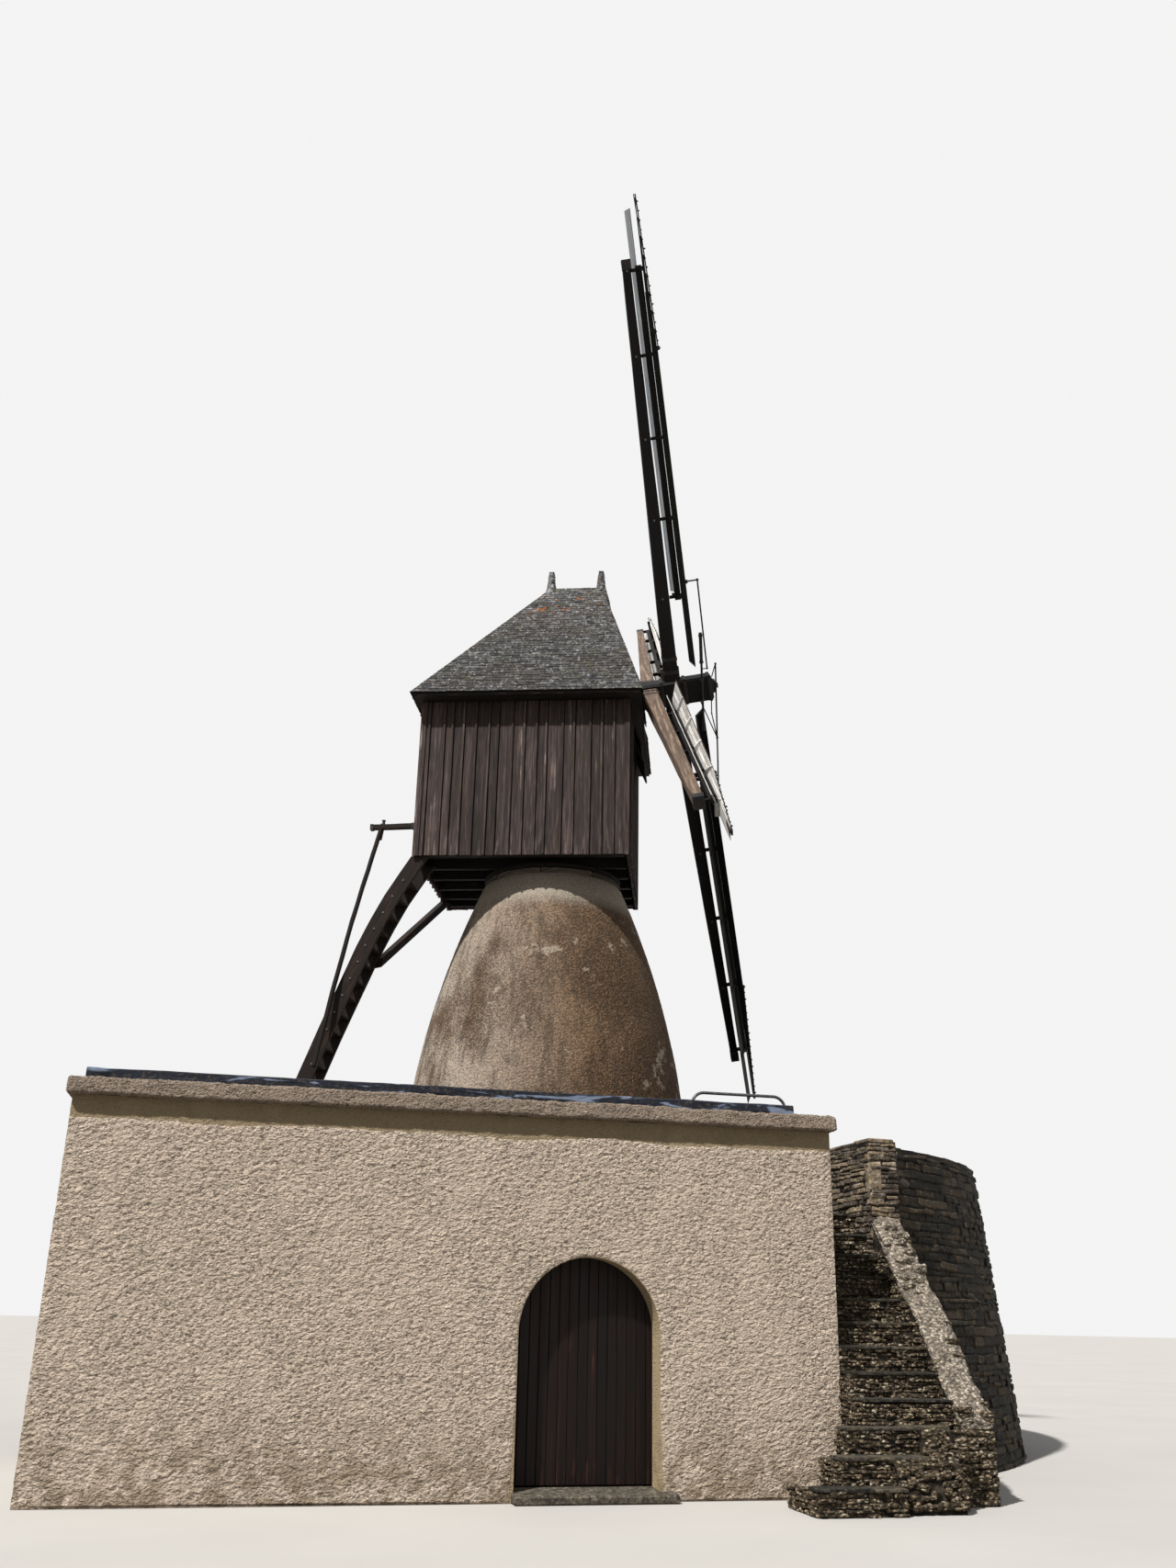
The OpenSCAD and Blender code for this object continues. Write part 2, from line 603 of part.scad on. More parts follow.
// bar across the outer ends of the planks, on their windward side
module tip_bar() {
  function end(j) = [plank_out(j), plank_left(j, plank_out(j)) + plank_w * 0.6, j * fan_pitch + plank_t];
  lift = [0, 0, 9 + seat];
  a = end(1) + lift;
  b = end(plank_n - 1) + lift;
  reach = 40 * (a - b) / norm(a - b);
  fan() beam(b - reach, a + reach, 18, 56);
}
module sail_arms() color([0.20, 0.16, 0.13])
  for (i = [0:3]) wing_at(i) {
    union() { for (r = arm_r) one_arm(r); arm_rail(); }
    tip_bar();
  }

// iron control gear before the windshaft head; points are to windward, across, outwards
rod_r = 13;
module rod(p, q, r = rod_r) {
  d = q - p;
  translate(p) rotate([0, acos(d[2] / norm(d)), atan2(d[1], d[0])]) cylinder(r = r, h = norm(d), $fn = 24);
}
module knob(p, r = 24) translate(p) sphere(r = r, $fn = 24);
head_front = 650;
gear_r = 1750;
// foot plate on the topmost plank
foot_z = (plank_n - 1) * fan_pitch + plank_t + seat;
module gear_foot(t) wing(0) fan()
  box([gear_r - 30, t - fan_t - 22, foot_z], [gear_r + 30, t - fan_t + 22, foot_z + 34]);
module gear_of_upper_sail() {
  foot = [610, 60, 290];
  bracket = [640, 60, gear_r];
  rod(foot, bracket);
  rod([470, 60, gear_r], bracket);
  gear_foot(60);
  knob(bracket);
  knob(foot, 19);
  rod(foot, rack_at(0.36), 9);
}
// long rack tube on two collars along the near side of the head
rack_top = [550, -head_w / 2 - 80, 930];
rack_foot = [400, -head_w / 2 - 80, -660];
function rack_at(k) = rack_top + k * (rack_foot - rack_top);
module rack_tube() {
  rod(rack_top, rack_foot, 19);
  rod(rack_at(-0.01), rack_at(0.3), 27);
  for (k = [0.48, 0.68])
    box(rack_at(k) - [30, 0, 14], rack_at(k) + [30, 80, 14]);
}
module gear_of_lower_sail() {
  top = [740, 120, -380];
  low = [520, 120, gear_r];
  apex = top + 0.577 * (low - top);
  elbow = [575, 120, 430];
  rod(top, low);
  knob(top, 19);
  knob(low, 20);
  knob(elbow, 14);
  knob(apex, 22);
  rod([head_front, 120, -170], top, 9);
  rod([420, 120, head_w / 2], apex, 9);
  rod([600, 120, head_w / 2], elbow, 9);
  rod(elbow, apex, 9);
  rod([472, 120, gear_r], low, rod_r);
  gear_foot(120);
}
module sail_gear() color([0.12, 0.12, 0.13]) sails() {
  rotate([0, 90, 0]) translate([0, 0, head_front]) cylinder(r = 120, h = 30);
  rotate([0, 90, 0]) translate([0, 0, head_front + 30]) cylinder(r = 35, h = 60);
  rotate([phi, 0, 0]) difference() {
    union() {
      gear_of_upper_sail();
      rack_tube();
      rotate([180, 0, 0]) gear_of_lower_sail();
    }
    box([-600, -head_w / 2 - seat, -head_w / 2 - seat],
      [head_front + seat, head_w / 2 + seat, head_w / 2 + seat]);
  }
}

front_wall_left();
front_wall_right();
front_wall_arch();
left_side_wall();
right_side_wall();
back_wall();
room_floor();
flat_roof();
facade_coping();
roof_upstand();
roof_rail();
door_sill();
door_pintles();
door_leaf();
mound_fill();
round_wall_1();
round_wall_2();
round_wall_3();
round_wall_4();
stair_pier();
stair_steps();
stair_slabs();
stair_parapet();
tower_cone();
curb_ring();
cabin_near_wall();
cabin_far_wall();
cabin_front_wall();
cabin_rear_wall();
rear_door();
cabin_floor();
cabin_frame();
eaves_boards();
roof_near_slope();
roof_far_slope();
roof_front_hip();
roof_rear_hip();
ridge_and_finials();
front_apron();
shaft_beams();
tail_frame();
tail_treads();
brake_lever();
brake_pole();
windshaft();
stock_outer();
stock_inner();
sail_arms();
sail_planks();
sail_gear();
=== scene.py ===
"""Dresses the hollow-post windmill: masonry, render, boards, slates, sails and the studio round it."""

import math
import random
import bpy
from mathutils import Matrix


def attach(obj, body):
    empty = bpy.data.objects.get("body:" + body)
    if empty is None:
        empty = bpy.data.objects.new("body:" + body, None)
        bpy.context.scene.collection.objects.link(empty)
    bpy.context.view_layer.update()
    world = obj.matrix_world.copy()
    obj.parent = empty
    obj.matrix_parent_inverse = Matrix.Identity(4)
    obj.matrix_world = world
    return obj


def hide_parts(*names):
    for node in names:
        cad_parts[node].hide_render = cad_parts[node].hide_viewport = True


bl_info = {
    "name": "Hollow-post windmill",
    "version": (1, 0, 0),
    "blender": (4, 5, 0),
    "location": "View3D > Sidebar > Windmill",
    "description": "Builds the masonry, boards, slates and sails of a hollow-post windmill",
    "category": "Add Mesh",
}

import bmesh
import bpy
from bpy.props import FloatProperty, FloatVectorProperty, PointerProperty
from mathutils import Matrix, Vector, noise

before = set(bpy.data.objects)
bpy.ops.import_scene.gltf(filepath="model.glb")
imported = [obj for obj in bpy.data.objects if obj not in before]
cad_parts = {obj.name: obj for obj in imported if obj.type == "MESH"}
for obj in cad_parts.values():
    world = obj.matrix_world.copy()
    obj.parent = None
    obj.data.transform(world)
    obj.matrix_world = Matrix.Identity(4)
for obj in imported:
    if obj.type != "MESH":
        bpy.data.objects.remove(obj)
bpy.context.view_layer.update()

# ---------------------------------------------------------------- shared measures, in metres

FRONT_Y, WALL_TOP, LEFT, RIGHT = -6.79, 3.355, -5.85, 1.5
DOOR_X, DOOR_HALF, SPRING = -0.988, 0.68, 1.40
STAIR_Y, RISER, TREAD, LANE = -8.0, 0.222, 0.24, 2.42
PIER_W, PIER_Y, WELL_BACK, LANDING = 0.33, -5.74, -4.5, 2.664
RING_FOOT, RING_TOP, RING_H, RING_T = 6.35, 6.0, 3.42, 0.55
TERRACE, CONE_TOP = 3.30, 7.70
CAB_X0, CAB_X1, CAB_Y, CAB_Z, CAB_TOP = -1.93, 1.26, 1.468, 7.85, 10.33
EAVE, RIDGE, RIDGE_X0, RIDGE_X1 = 10.39, 13.08, -0.165, 0.684
ROOF_X0, ROOF_X1, ROOF_Y = -2.048, 1.446, 1.74
STOCK_R, STOCK_GAP, PHI = 6.716, 0.384, 36.3
ARMS = (1.55, 2.80, 4.05, 5.30, 6.55)
# how far each sail plank is raised over the one before; bend of the stocks, and where their taper starts
PLANK_STEP, BEND, TAPER_FROM = 0.0085, math.radians(1.63), 0.26
# depths of the ladder's treads under the cabin floor
RUNGS = tuple(0.372 + 0.245 * k for k in range(15))
# upper edge of the ladder's sides: depth under the cabin floor, distance behind the rear wall
TAIL = (
    (0.0, 0.032), (0.3, 0.218), (0.6, 0.395), (1.0, 0.592), (1.4, 0.768),
    (1.9, 0.957), (2.6, 1.22), (3.2, 1.434), (4.2, 1.786),
)
# thickness of a skin of render under its relief
SKIN = 0.02


def moved(x, y, z):
    return Matrix.Translation((x, y, z))


def turned(angle, axis):
    return Matrix.Rotation(math.radians(angle), 4, axis)


def axes(x, y, z, origin=(0, 0, 0)):
    """Frame with these three axes at origin."""
    made = Matrix((Vector(x), Vector(y), Vector(z))).transposed().to_4x4()
    made.translation = Vector(origin)
    return made


def facing(origin, outward, up=(0, 0, 1)):
    """Frame on a face: X along it, Y out of it, Z up."""
    y = Vector(outward).normalized()
    z = (Vector(up) - y * y.dot(Vector(up))).normalized()
    return axes(y.cross(z), y, z, origin)


def aimed(start, end, up=(0, 0, 1)):
    """Frame halfway between two points: X from one to the other, Z near up."""
    start, end = Vector(start), Vector(end)
    x = (end - start).normalized()
    y = Vector(up).cross(x).normalized()
    return axes(x, y, x.cross(y), (start + end) / 2)


def upright(origin, along, outward):
    """Frame of a standing board: X up, Y along the wall, Z out of it."""
    return axes((0, 0, 1), along, outward, origin)


CABIN = turned(-18.5, "Z")
SAILS = CABIN @ moved(1.897, 0, 11.130) @ turned(-8.55, "Y")
FAN = moved(0, -0.18, 0.31) @ turned(-0.9, "Y") @ turned(6, "X")


def wing(i):
    """Frame of a wing: X out from the hub, Y across it, Z to windward."""
    a = math.radians(PHI + 90 * i)
    out, across = (0, -math.sin(a), math.cos(a)), (0, math.cos(a), math.sin(a))
    return SAILS @ moved(-STOCK_GAP * (i % 2), 0, 0) @ axes(out, across, (1, 0, 0))


def between(marks, x):
    """Value at x on the line through (place, value) marks, level past the last one."""
    for (a, p), (b, q) in zip(marks, marks[1:]):
        if x <= b:
            return p + (q - p) * (x - a) / (b - a)
    return marks[-1][1]


def strips(dice, start, end, span, least, slack, stretch=1.0):
    """Start and width of strips of random width side by side; a rest under `least` joins the last one."""
    while start < end - slack:
        wide = dice.uniform(*span) * stretch
        if end - start - wide < least:
            wide = end - start
        yield start, wide
        start += wide


# ---------------------------------------------------------------- sizes and colours a user would change


def colour(text):
    """Scene-linear colour of six hexadecimal digits."""
    parts = [int(text[k : k + 2], 16) / 255 for k in (0, 2, 4)]
    return tuple(c / 12.92 if c <= 0.04045 else ((c + 0.055) / 1.055) ** 2.4 for c in parts)


def length_prop(name, about, value):
    return FloatProperty(name=name, description=about, default=value, unit="LENGTH", subtype="DISTANCE")


def colour_prop(name, about, text):
    return FloatVectorProperty(
        name=name, description=about, default=colour(text), subtype="COLOR", size=3, min=0, max=1
    )


class WINDMILL_PG_sizes(bpy.types.PropertyGroup):
    slate_gauge: length_prop("Slate gauge", "Height of a slate course that shows", 0.074)
    slate_width: length_prop("Slate width", "Mean width of a slate", 0.118)
    slate_thick: length_prop("Slate thickness", "Thickness of a slate", 0.010)
    strip_width: length_prop("Cover strip", "Width of the strips over the cabin's board joints", 0.030)
    strip_thick: length_prop("Strip thickness", "How far the strips stand out from the boards", 0.026)
    door_board: length_prop("Door board", "Width of one board of the door", 0.092)
    course_low: length_prop("Lowest course", "Least height of a course of the round wall", 0.045)
    course_high: length_prop("Highest course", "Greatest height of a course of the round wall", 0.115)
    render_relief: length_prop("Render relief", "Depth of the rough render of the front", 0.016)
    pebble_relief: length_prop("Pebble relief", "Depth of the cone's pebbly render", 0.010)


class WINDMILL_PG_colours(bpy.types.PropertyGroup):
    boards: colour_prop("Cabin boards", "Tarred boards of the cabin", "463c3a")
    boards_worn: colour_prop("Worn boards", "Bare streaks on the cabin boards", "a8978a")
    beams: colour_prop("Dark timber", "Beams, eaves and ladder", "221d1b")
    slate: colour_prop("Slate", "Middle tone of the roof slates", "474747")
    lichen: colour_prop("Lichen", "Orange lichen on the slates", "86522c")
    cone: colour_prop("Cone render", "Pebbly render of the cone", "765f4a")
    front: colour_prop("Front render", "Rough render of the front wall", "e0cebb")
    coping: colour_prop("Coping", "Mortared coping of the front wall", "ad9c8c")
    # painted shade: the schist's tint is darker than the stone, for the shade on the round wall
    schist: colour_prop("Schist", "Stones of the round wall and the stair", "2e2b26")
    # painted shade: the door's tint is darker than its wood, for the shade in the doorway's recess
    door: colour_prop("Door", "Boards of the door", "170d0a")
    slats: colour_prop("Bare planks", "Pale sail planks of the inner stock", "eeece8")
    slats_dark: colour_prop("Tarred planks", "Dark sail planks of the outer stock", "2b2d28")
    stock_dark: colour_prop("Outer stock", "Tarred stock", "1d1b1b")
    stock_tan: colour_prop("Inner stock", "Bare stock", "6f5f53")
    iron: colour_prop("Iron", "Rods, straps and bolts", "222224")


def sizes():
    return bpy.context.scene.windmill_sizes


def tints():
    return bpy.context.scene.windmill_colours


def paint(tint):
    """A colour from its name in the panel or its six hexadecimal digits; any other value stays as it is."""
    return getattr(tints(), tint, None) or colour(tint) if isinstance(tint, str) else tint


def shade(tint, factor):
    """A colour made lighter or darker."""
    return tuple(min(1.0, c * factor) for c in paint(tint))


# ---------------------------------------------------------------- materials


class Wire:
    """A socket of a node tree that can stand in a sum."""

    def __init__(self, nodes, socket):
        self.nodes = nodes
        self.socket = socket

    def math(self, operation, *values, clamp=False):
        return self.nodes.node("Math", {"operation": operation, "use_clamp": clamp}, values)

    def __add__(self, other):
        return self.math("ADD", self, other)

    def __sub__(self, other):
        return self.math("SUBTRACT", self, other)

    def __rsub__(self, other):
        return self.math("SUBTRACT", other, self)

    def __mul__(self, other):
        return self.math("MULTIPLY", self, other)

    __radd__ = __add__
    __rmul__ = __mul__


class Nodes:
    """A node tree, built node by node."""

    def __init__(self, tree):
        self.tree = tree

    def feed(self, socket, value):
        """Link a wire to a socket, or set the socket's value; None leaves it alone."""
        value = paint(value)
        if isinstance(value, Wire):
            self.tree.links.new(value.socket, socket)
        elif value is not None:
            socket.default_value = (*value, 1.0) if socket.type == "RGBA" and len(value) == 3 else value

    def node(self, kind, settings=None, values=(), out=0):
        made = self.tree.nodes.new("ShaderNode" + kind)
        for key, value in (settings or {}).items():
            if key != "stops":
                setattr(made, key, value)
                continue
            points = made.color_ramp.elements
            while len(points) < len(value):
                points.new(1.0)
            for point, (place, tint) in zip(points, value):
                point.position, point.color = place, (*paint(tint), 1.0)
        for key, value in values.items() if isinstance(values, dict) else enumerate(values):
            self.feed(made.inputs[key], value)
        return Wire(self, made.outputs[out])

    def seen(self):
        """1 where the camera sees the surface, straight or through gloss and glass, else 0."""
        kinds = ("Camera", "Glossy", "Transmission")
        straight, gloss, glass = [self.node("LightPath", out=f"Is {kind} Ray") for kind in kinds]
        return straight.math("MAXIMUM", straight.math("MAXIMUM", straight, gloss), glass)


class Finish(Nodes):
    """One procedural material."""

    def __init__(self, name, specular=0.2):
        self.material = bpy.data.materials.new(name)
        self.material.use_nodes = True
        super().__init__(self.material.node_tree)
        self.shader = self.tree.nodes["Principled BSDF"].inputs
        self.shader["Specular IOR Level"].default_value = specular

    def put(self, **values):
        """Feed the shader: names are its sockets in lower case with _ for blanks."""
        for key, value in values.items():
            self.feed(self.shader[key.replace("_", " ").title()], value)
        return self

    def spot(self, scale=(1, 1, 1), turn=(0, 0, 0)):
        """Object coordinates, scaled and turned."""
        at = self.node("TexCoord", out="Object")
        return self.node("Mapping", {}, {"Vector": at, "Scale": scale, "Rotation": turn})

    def grain(self, along, across):
        """The piece's own grain map: so many waves to the metre along and across."""
        at = self.node("UVMap", {"uv_map": "grain"})
        return self.node("Mapping", {}, {"Vector": at, "Scale": (along, across, 1)})

    def tone(self):
        """The tone of one board, slate or stone, from 0 to 1."""
        return self.node("Attribute", {"attribute_name": "tone"}, out="Fac")

    def cloud(self, at, scale, detail=4.0, rough=0.55, warp=0.0):
        values = {"Vector": at, "Scale": scale, "Detail": detail, "Roughness": rough, "Distortion": warp}
        return self.node("TexNoise", {}, values)

    def cells(self, at, scale, out="Distance", distance="EUCLIDEAN"):
        return self.node("TexVoronoi", {"distance": distance}, {"Vector": at, "Scale": scale}, out=out)

    def mottle(self, value, tint, dark, pale, spread=0.11):
        """A colour broken up by a cloud, from its dark share of the tint to its pale one."""
        stops = ((-1, dark), (-0.3, (1 + dark) / 2), (0.3, 1.0), (1, pale))
        return self.ramp(value, *[(0.5 + spread * place, shade(tint, share)) for place, share in stops])

    def band(self, value, low, high):
        """0 under low, 1 over high, smooth between."""
        smooth = {"interpolation_type": "SMOOTHSTEP"}
        return self.node("MapRange", smooth, {"Value": value, "From Min": low, "From Max": high})

    def ramp(self, value, *stops):
        return self.node("ValToRGB", {"stops": stops}, [value])

    def mix(self, first, second, part):
        return self.node("Mix", {"data_type": "RGBA"}, {0: part, 6: first, 7: second}, out=2)

    def lit(self, tint, value):
        """A colour made lighter or darker by a wire."""
        return self.node("HueSaturation", {}, {"Value": value, "Color": tint})

    def close(self, body, roughness, height, relief, **more):
        """Feed the shader its colour, its roughness and a bump, and give the material back."""
        bump = self.node("Bump", {}, {"Height": height, "Distance": relief})
        return self.put(base_color=body, roughness=roughness, normal=bump, **more).material

    def axis(self, value, name="X"):
        """One coordinate of a vector; X of a colour is its red."""
        return self.node("SeparateXYZ", {}, [value], name)

    def height(self):
        """Height over the ground."""
        return self.axis(self.node("TexCoord", out="Object"), "Z")


def timber(name, dark, pale, wear=0.5, rust=None, low=None, gloss=0.75, at=None, spread=0.10):
    """Sawn weathered wood with its grain along the boards; `low` is the height that wears most."""
    f = Finish(name)
    along = f.grain if at is None else (lambda a, b: f.spot((a, b, b), at))
    streak = f.cloud(along(0.8, 22), 1.0, 4, 0.6)
    fibre = f.cloud(along(3.0, 90), 1.0, 3, 0.6)
    patch = f.cloud(along(1.1, 5), 1.0, 4, 0.55, 0.4)
    body = f.mottle(streak * 0.6 + fibre * 0.4, dark, 0.45, 1.9, spread)
    if rust:
        body = f.mix(body, rust, f.band(f.cloud(along(1.6, 11), 1.3, 3), 0.53, 0.64) * 0.6)
    worn = f.band(streak * 0.45 + patch * 0.55, 0.63 - 0.1 * wear, 0.70 - 0.1 * wear)
    if low is not None:
        near = 1.0 - f.band(f.height(), low, low + 0.6)
        worn = worn + near * f.band(f.cloud(along(2.2, 24), 1.0, 4), 0.55, 0.64) * 0.45
    body = f.mix(body, pale, worn.math("MULTIPLY", worn, 0.75, clamp=True))
    if at is None:
        body = f.lit(body, f.tone() * 0.7 + 0.65)
    return f.close(body, f.band(streak, 0.3, 0.7) * 0.2 + (gloss - 0.1), streak * 0.6 + fibre * 0.4, 0.006)


def stonework(name, tone_stops, moss=0.35, relief=0.02, toned=True, pale="b3aa98"):
    """Rough stone; each stone has its own tone where the piece carries one."""
    f = Finish(name)
    at = f.spot()
    grit = f.cloud(at, 30, 5, 0.62)
    blotch = f.cloud(at, 8, 4, 0.6)
    bed = f.cloud(f.spot((9, 9, 70)), 1.0, 4, 0.6)
    tone = f.tone() if toned else f.band(blotch, 0.36, 0.64)
    body = f.ramp(tone * 0.7 + f.band(blotch, 0.35, 0.65) * 0.3, *tone_stops)
    body = f.lit(body, f.band(grit, 0.36, 0.64) * 1.0 + f.band(bed, 0.35, 0.65) * 0.25 + 0.42)
    body = f.mix(body, pale, f.band(f.cloud(at, 17, 5, 0.7), 0.54, 0.60) * moss)
    return f.close(body, f.band(grit, 0.3, 0.8) * 0.15 + 0.8, grit * 0.6 + bed * 0.2 + blotch, relief)


def rubble(name, base, dark=0.25, pale="c9bfab", gaps=0.85):
    """Chips and stones in lime and earth, with painted shade in the holes between them."""
    f = Finish(name)
    at = f.spot((1, 1, 1.5), (0.5, 0.35, 0.6))
    chip = f.cells(at, 25, distance="MANHATTAN") * 0.72
    pick = f.axis(f.cells(at, 25, out="Color", distance="MANHATTAN"))
    grit = f.cloud(at, 40, 4, 0.62)
    blotch = f.cloud(at, 5, 4, 0.6)
    stops = ((0.1, shade(base, dark)), (0.45, shade(base, 0.8)), (0.7, shade(base, 1.5)), (0.95, pale))
    body = f.ramp(pick * 0.75 + f.band(blotch, 0.35, 0.65) * 0.25, *stops)
    # painted shade: near-black in the holes between the chips
    body = f.mix(body, shade(base, 0.12), f.band(chip + grit * 0.25, 0.58, 0.74) * gaps)
    body = f.lit(body, f.band(grit, 0.36, 0.64) * 0.9 + 0.5)
    return f.close(body, f.band(grit, 0.3, 0.8) * 0.12 + 0.83, grit * 0.5 - chip, 0.022)


def slates(name):
    """Old slates: each its own grey, blotched with pale and green lichen, with orange near the ridge."""
    f = Finish(name)
    at = f.spot()
    base = "slate"
    mottle = f.cloud(at, 13, 5, 0.65)
    grit = f.cloud(at, 34, 4, 0.6)
    wide = f.cloud(at, 1.3, 4, 0.55)
    body = f.ramp(
        f.tone() * 0.55 + f.band(mottle, 0.36, 0.64) * 0.45,
        (0.08, shade(base, 0.12)),
        (0.32, shade(base, 0.55)),
        (0.54, base),
        (0.74, shade(base, 1.9)),
        (0.94, shade(base, 4.0)),
    )
    body = f.mix(body, "43342e", f.band(wide, 0.46, 0.58) * f.band(mottle, 0.40, 0.6) * 0.6)
    # the butts carry tone 0, painted shade, and lichen keeps off them
    spare = f.band(f.tone(), 0.10, 0.16)
    body = f.mix(body, "aaabab", f.band(f.cloud(at, 17, 4, 0.7), 0.56, 0.62) * spare * 0.5)
    body = f.mix(body, "55543a", f.band(f.cloud(at, 5.0, 4, 0.6), 0.56, 0.63) * spare * 0.4)
    high = f.band(f.height(), 12.2, 12.5) * f.band(f.cloud(at, 5.5, 3, 0.5), 0.655, 0.675)
    body = f.mix(body, "lichen", high * (1.0 - f.band(f.height(), 12.86, 12.9)) * 0.85)
    body = f.lit(body, f.band(f.height(), 11.2, 12.9) * 0.4 + 1.0)
    body = f.lit(body, f.band(grit, 0.35, 0.65) * 0.7 + 0.62)
    return f.close(body, f.band(mottle, 0.3, 0.7) * 0.2 + 0.6, mottle * 0.6 + grit * 0.4, 0.008)


def front_render(name, base, fine=1.0, rough=1.0, jamb=1.0):
    """Lime render thrown on by hand, dirtied in streaks, with painted shade in its pits; its last argument
    lightens it round the doorway, painted light on the jambs.
    """
    f = Finish(name)
    at = f.spot(turn=(0, math.radians(25), 0), scale=(1, 1, 1.5))
    lump = f.cloud(at, 20 * fine, 2, 0.5, 0.4)
    grain = f.cloud(at, 46 * fine, 3, 0.6)
    # painted shade: the low spots of the lumps are darkened, as shade in the hollows of the render
    pit_shade = 1.0 - f.band(lump * 0.6 + grain * 0.4, 0.38, 0.46)
    wash = f.cloud(f.spot((2.0, 2.0, 1.1)), 1.0, 4, 0.6)
    blot = f.cloud(f.spot(), 6, 4, 0.6)
    body = f.mottle(grain, base, 1 - 0.30 * rough, 1 + 0.22 * rough, 0.10)
    body = f.mix(body, shade(base, 1 - 0.72 * rough), pit_shade * 0.75)
    body = f.mix(body, shade(base, 1.15), f.band(wash, 0.50, 0.62) * 0.35)
    body = f.mix(body, shade(base, 0.6), f.band(blot, 0.52, 0.66) * 0.28)
    foot = 1.0 - f.band(f.height(), 0.05, 0.9)
    body = f.mix(body, "8d7a5e", foot * f.band(blot, 0.40, 0.6) * 0.6)
    # painted light: below 2.2 m the render is lightened, where the sun falls on the doorway's jambs
    if jamb != 1.0:
        body = f.lit(body, f.band(f.height(), 2.2, 2.9) * (1.0 - jamb) + jamb)
    return f.close(body, f.band(grain, 0.3, 0.7) * 0.1 + 0.85, lump * 2.2 + grain, 0.022 * rough)


def cone_render(name):
    """Pebbly render: pale, tan and dark grains in brown ground, worn pale in places, with painted light on
    its left side and its top and painted shade on its right side.
    """
    f = Finish(name)
    at = f.spot()
    base = "cone"
    pebble = f.cells(at, 34)
    across = f.axis(at)
    grain = f.cloud(at, 44, 4, 0.65)
    stain = f.cloud(f.spot((1.3, 1.3, 0.8)), 1.0, 5, 0.6, 0.5)
    drip = f.cloud(f.spot((9, 9, 0.5)), 1.0, 4, 0.6)
    ground = f.mottle(stain, base, 0.6, 1.5, 0.09)
    # painted light and shade: the left side, where the sun falls, is painted paler, and the right side, away
    # from it, darker
    painted_sunlit_side = (1.0 - f.band(across, -2.2, 0.3)) * f.band(stain * 0.7 + grain * 0.3, 0.36, 0.58)
    ground = f.mix(ground, "e6dacb", painted_sunlit_side * 0.9)
    ground = f.mix(ground, shade(base, 0.36), f.band(across, 0.1, 1.8) * 0.9)
    shades = ((0.0, 0.35), (0.35, 0.9), (0.7, 1.5), (1.0, 2.3))
    shades = [(place, shade(base, share)) for place, share in shades]
    stones = f.ramp(f.axis(f.cells(at, 34, out="Color")), *shades)
    body = f.mix(ground, stones, (1.0 - f.band(pebble, 0.3, 0.62)) * 0.5)
    body = f.mix(body, shade(base, 0.35), f.band(pebble, 0.45, 0.66) * 0.55)
    body = f.mix(body, "4d443a", f.band(drip, 0.50, 0.62) * 0.45)
    # painted light: the top under the cabin is painted paler, lifting the shade that the cabin casts there
    body = f.mix(body, "b9afa0", f.band(f.height(), 7.08, 7.42) * 0.85)
    patch = f.band(f.cloud(at, 1.7, 4, 0.6), 0.60, 0.64) * f.band(f.cloud(at, 11, 4), 0.44, 0.56)
    body = f.mix(body, "c3b5a2", patch * 0.6)
    body = f.lit(body, f.band(grain, 0.36, 0.64) * 0.5 + 0.72)
    return f.close(body, f.band(grain, 0.3, 0.8) * 0.1 + 0.87, grain * 0.8 - pebble * 0.7, 0.013)


def metal(name, tint, rust=0.4, metallic=0.5, gloss=0.55):
    """Old iron, rusted in patches."""
    f = Finish(name, 0.5)
    at = f.spot()
    fleck = f.cloud(at, 34, 5, 0.65)
    wide = f.cloud(at, 6, 4, 0.6)
    body = f.mottle(fleck, tint, 0.6, 1.5)
    mask = f.band(wide * 0.5 + fleck * 0.5, 0.48, 0.58) * rust
    body = f.mix(body, "54331f", mask)
    return f.close(body, mask * 0.3 + gloss, fleck, 0.0015, metallic=(1.0 - mask) * metallic)


def sheeting(name, tint, pale, share=0.6):
    """Dark roofing sheet with dusty folds, whose crests are painted pale, painted highlights."""
    f = Finish(name)
    at = f.spot()
    fold = f.cloud(f.spot((2.2, 2.2, 12)), 1.0, 3, 0.5, 0.8)
    dust = f.cloud(at, 24, 5, 0.65)
    body = f.mottle(fold, tint, 0.6, 1.3)
    # painted highlight: the crests of the folds are painted pale
    body = f.mix(body, pale, f.band(fold, share - 0.06, share))
    body = f.mix(body, "6d6558", f.band(dust, 0.50, 0.66) * 0.35)
    return f.close(body, f.band(dust, 0.2, 0.8) * 0.3 + 0.42, fold + dust * 0.2, 0.012)


def earth(name):
    """Trodden earth and grit."""
    f = Finish(name)
    at = f.spot()
    clod = f.cloud(at, 9, 6, 0.65)
    grit = f.cells(at, 60)
    body = f.mottle(clod, "574c3a", 0.5, 1.9)
    body = f.lit(body, grit * 0.6 + 0.8)
    return f.close(body, f.band(clod, 0.3, 0.7) * 0.05 + 0.92, clod + grit * 0.3, 0.02)


def schist_stops(base, warm="544839"):
    return (
        (0.12, shade(base, 0.30)),
        (0.36, shade(base, 0.70)),
        (0.56, base),
        (0.74, warm),
        (0.92, shade(base, 2.4)),
    )


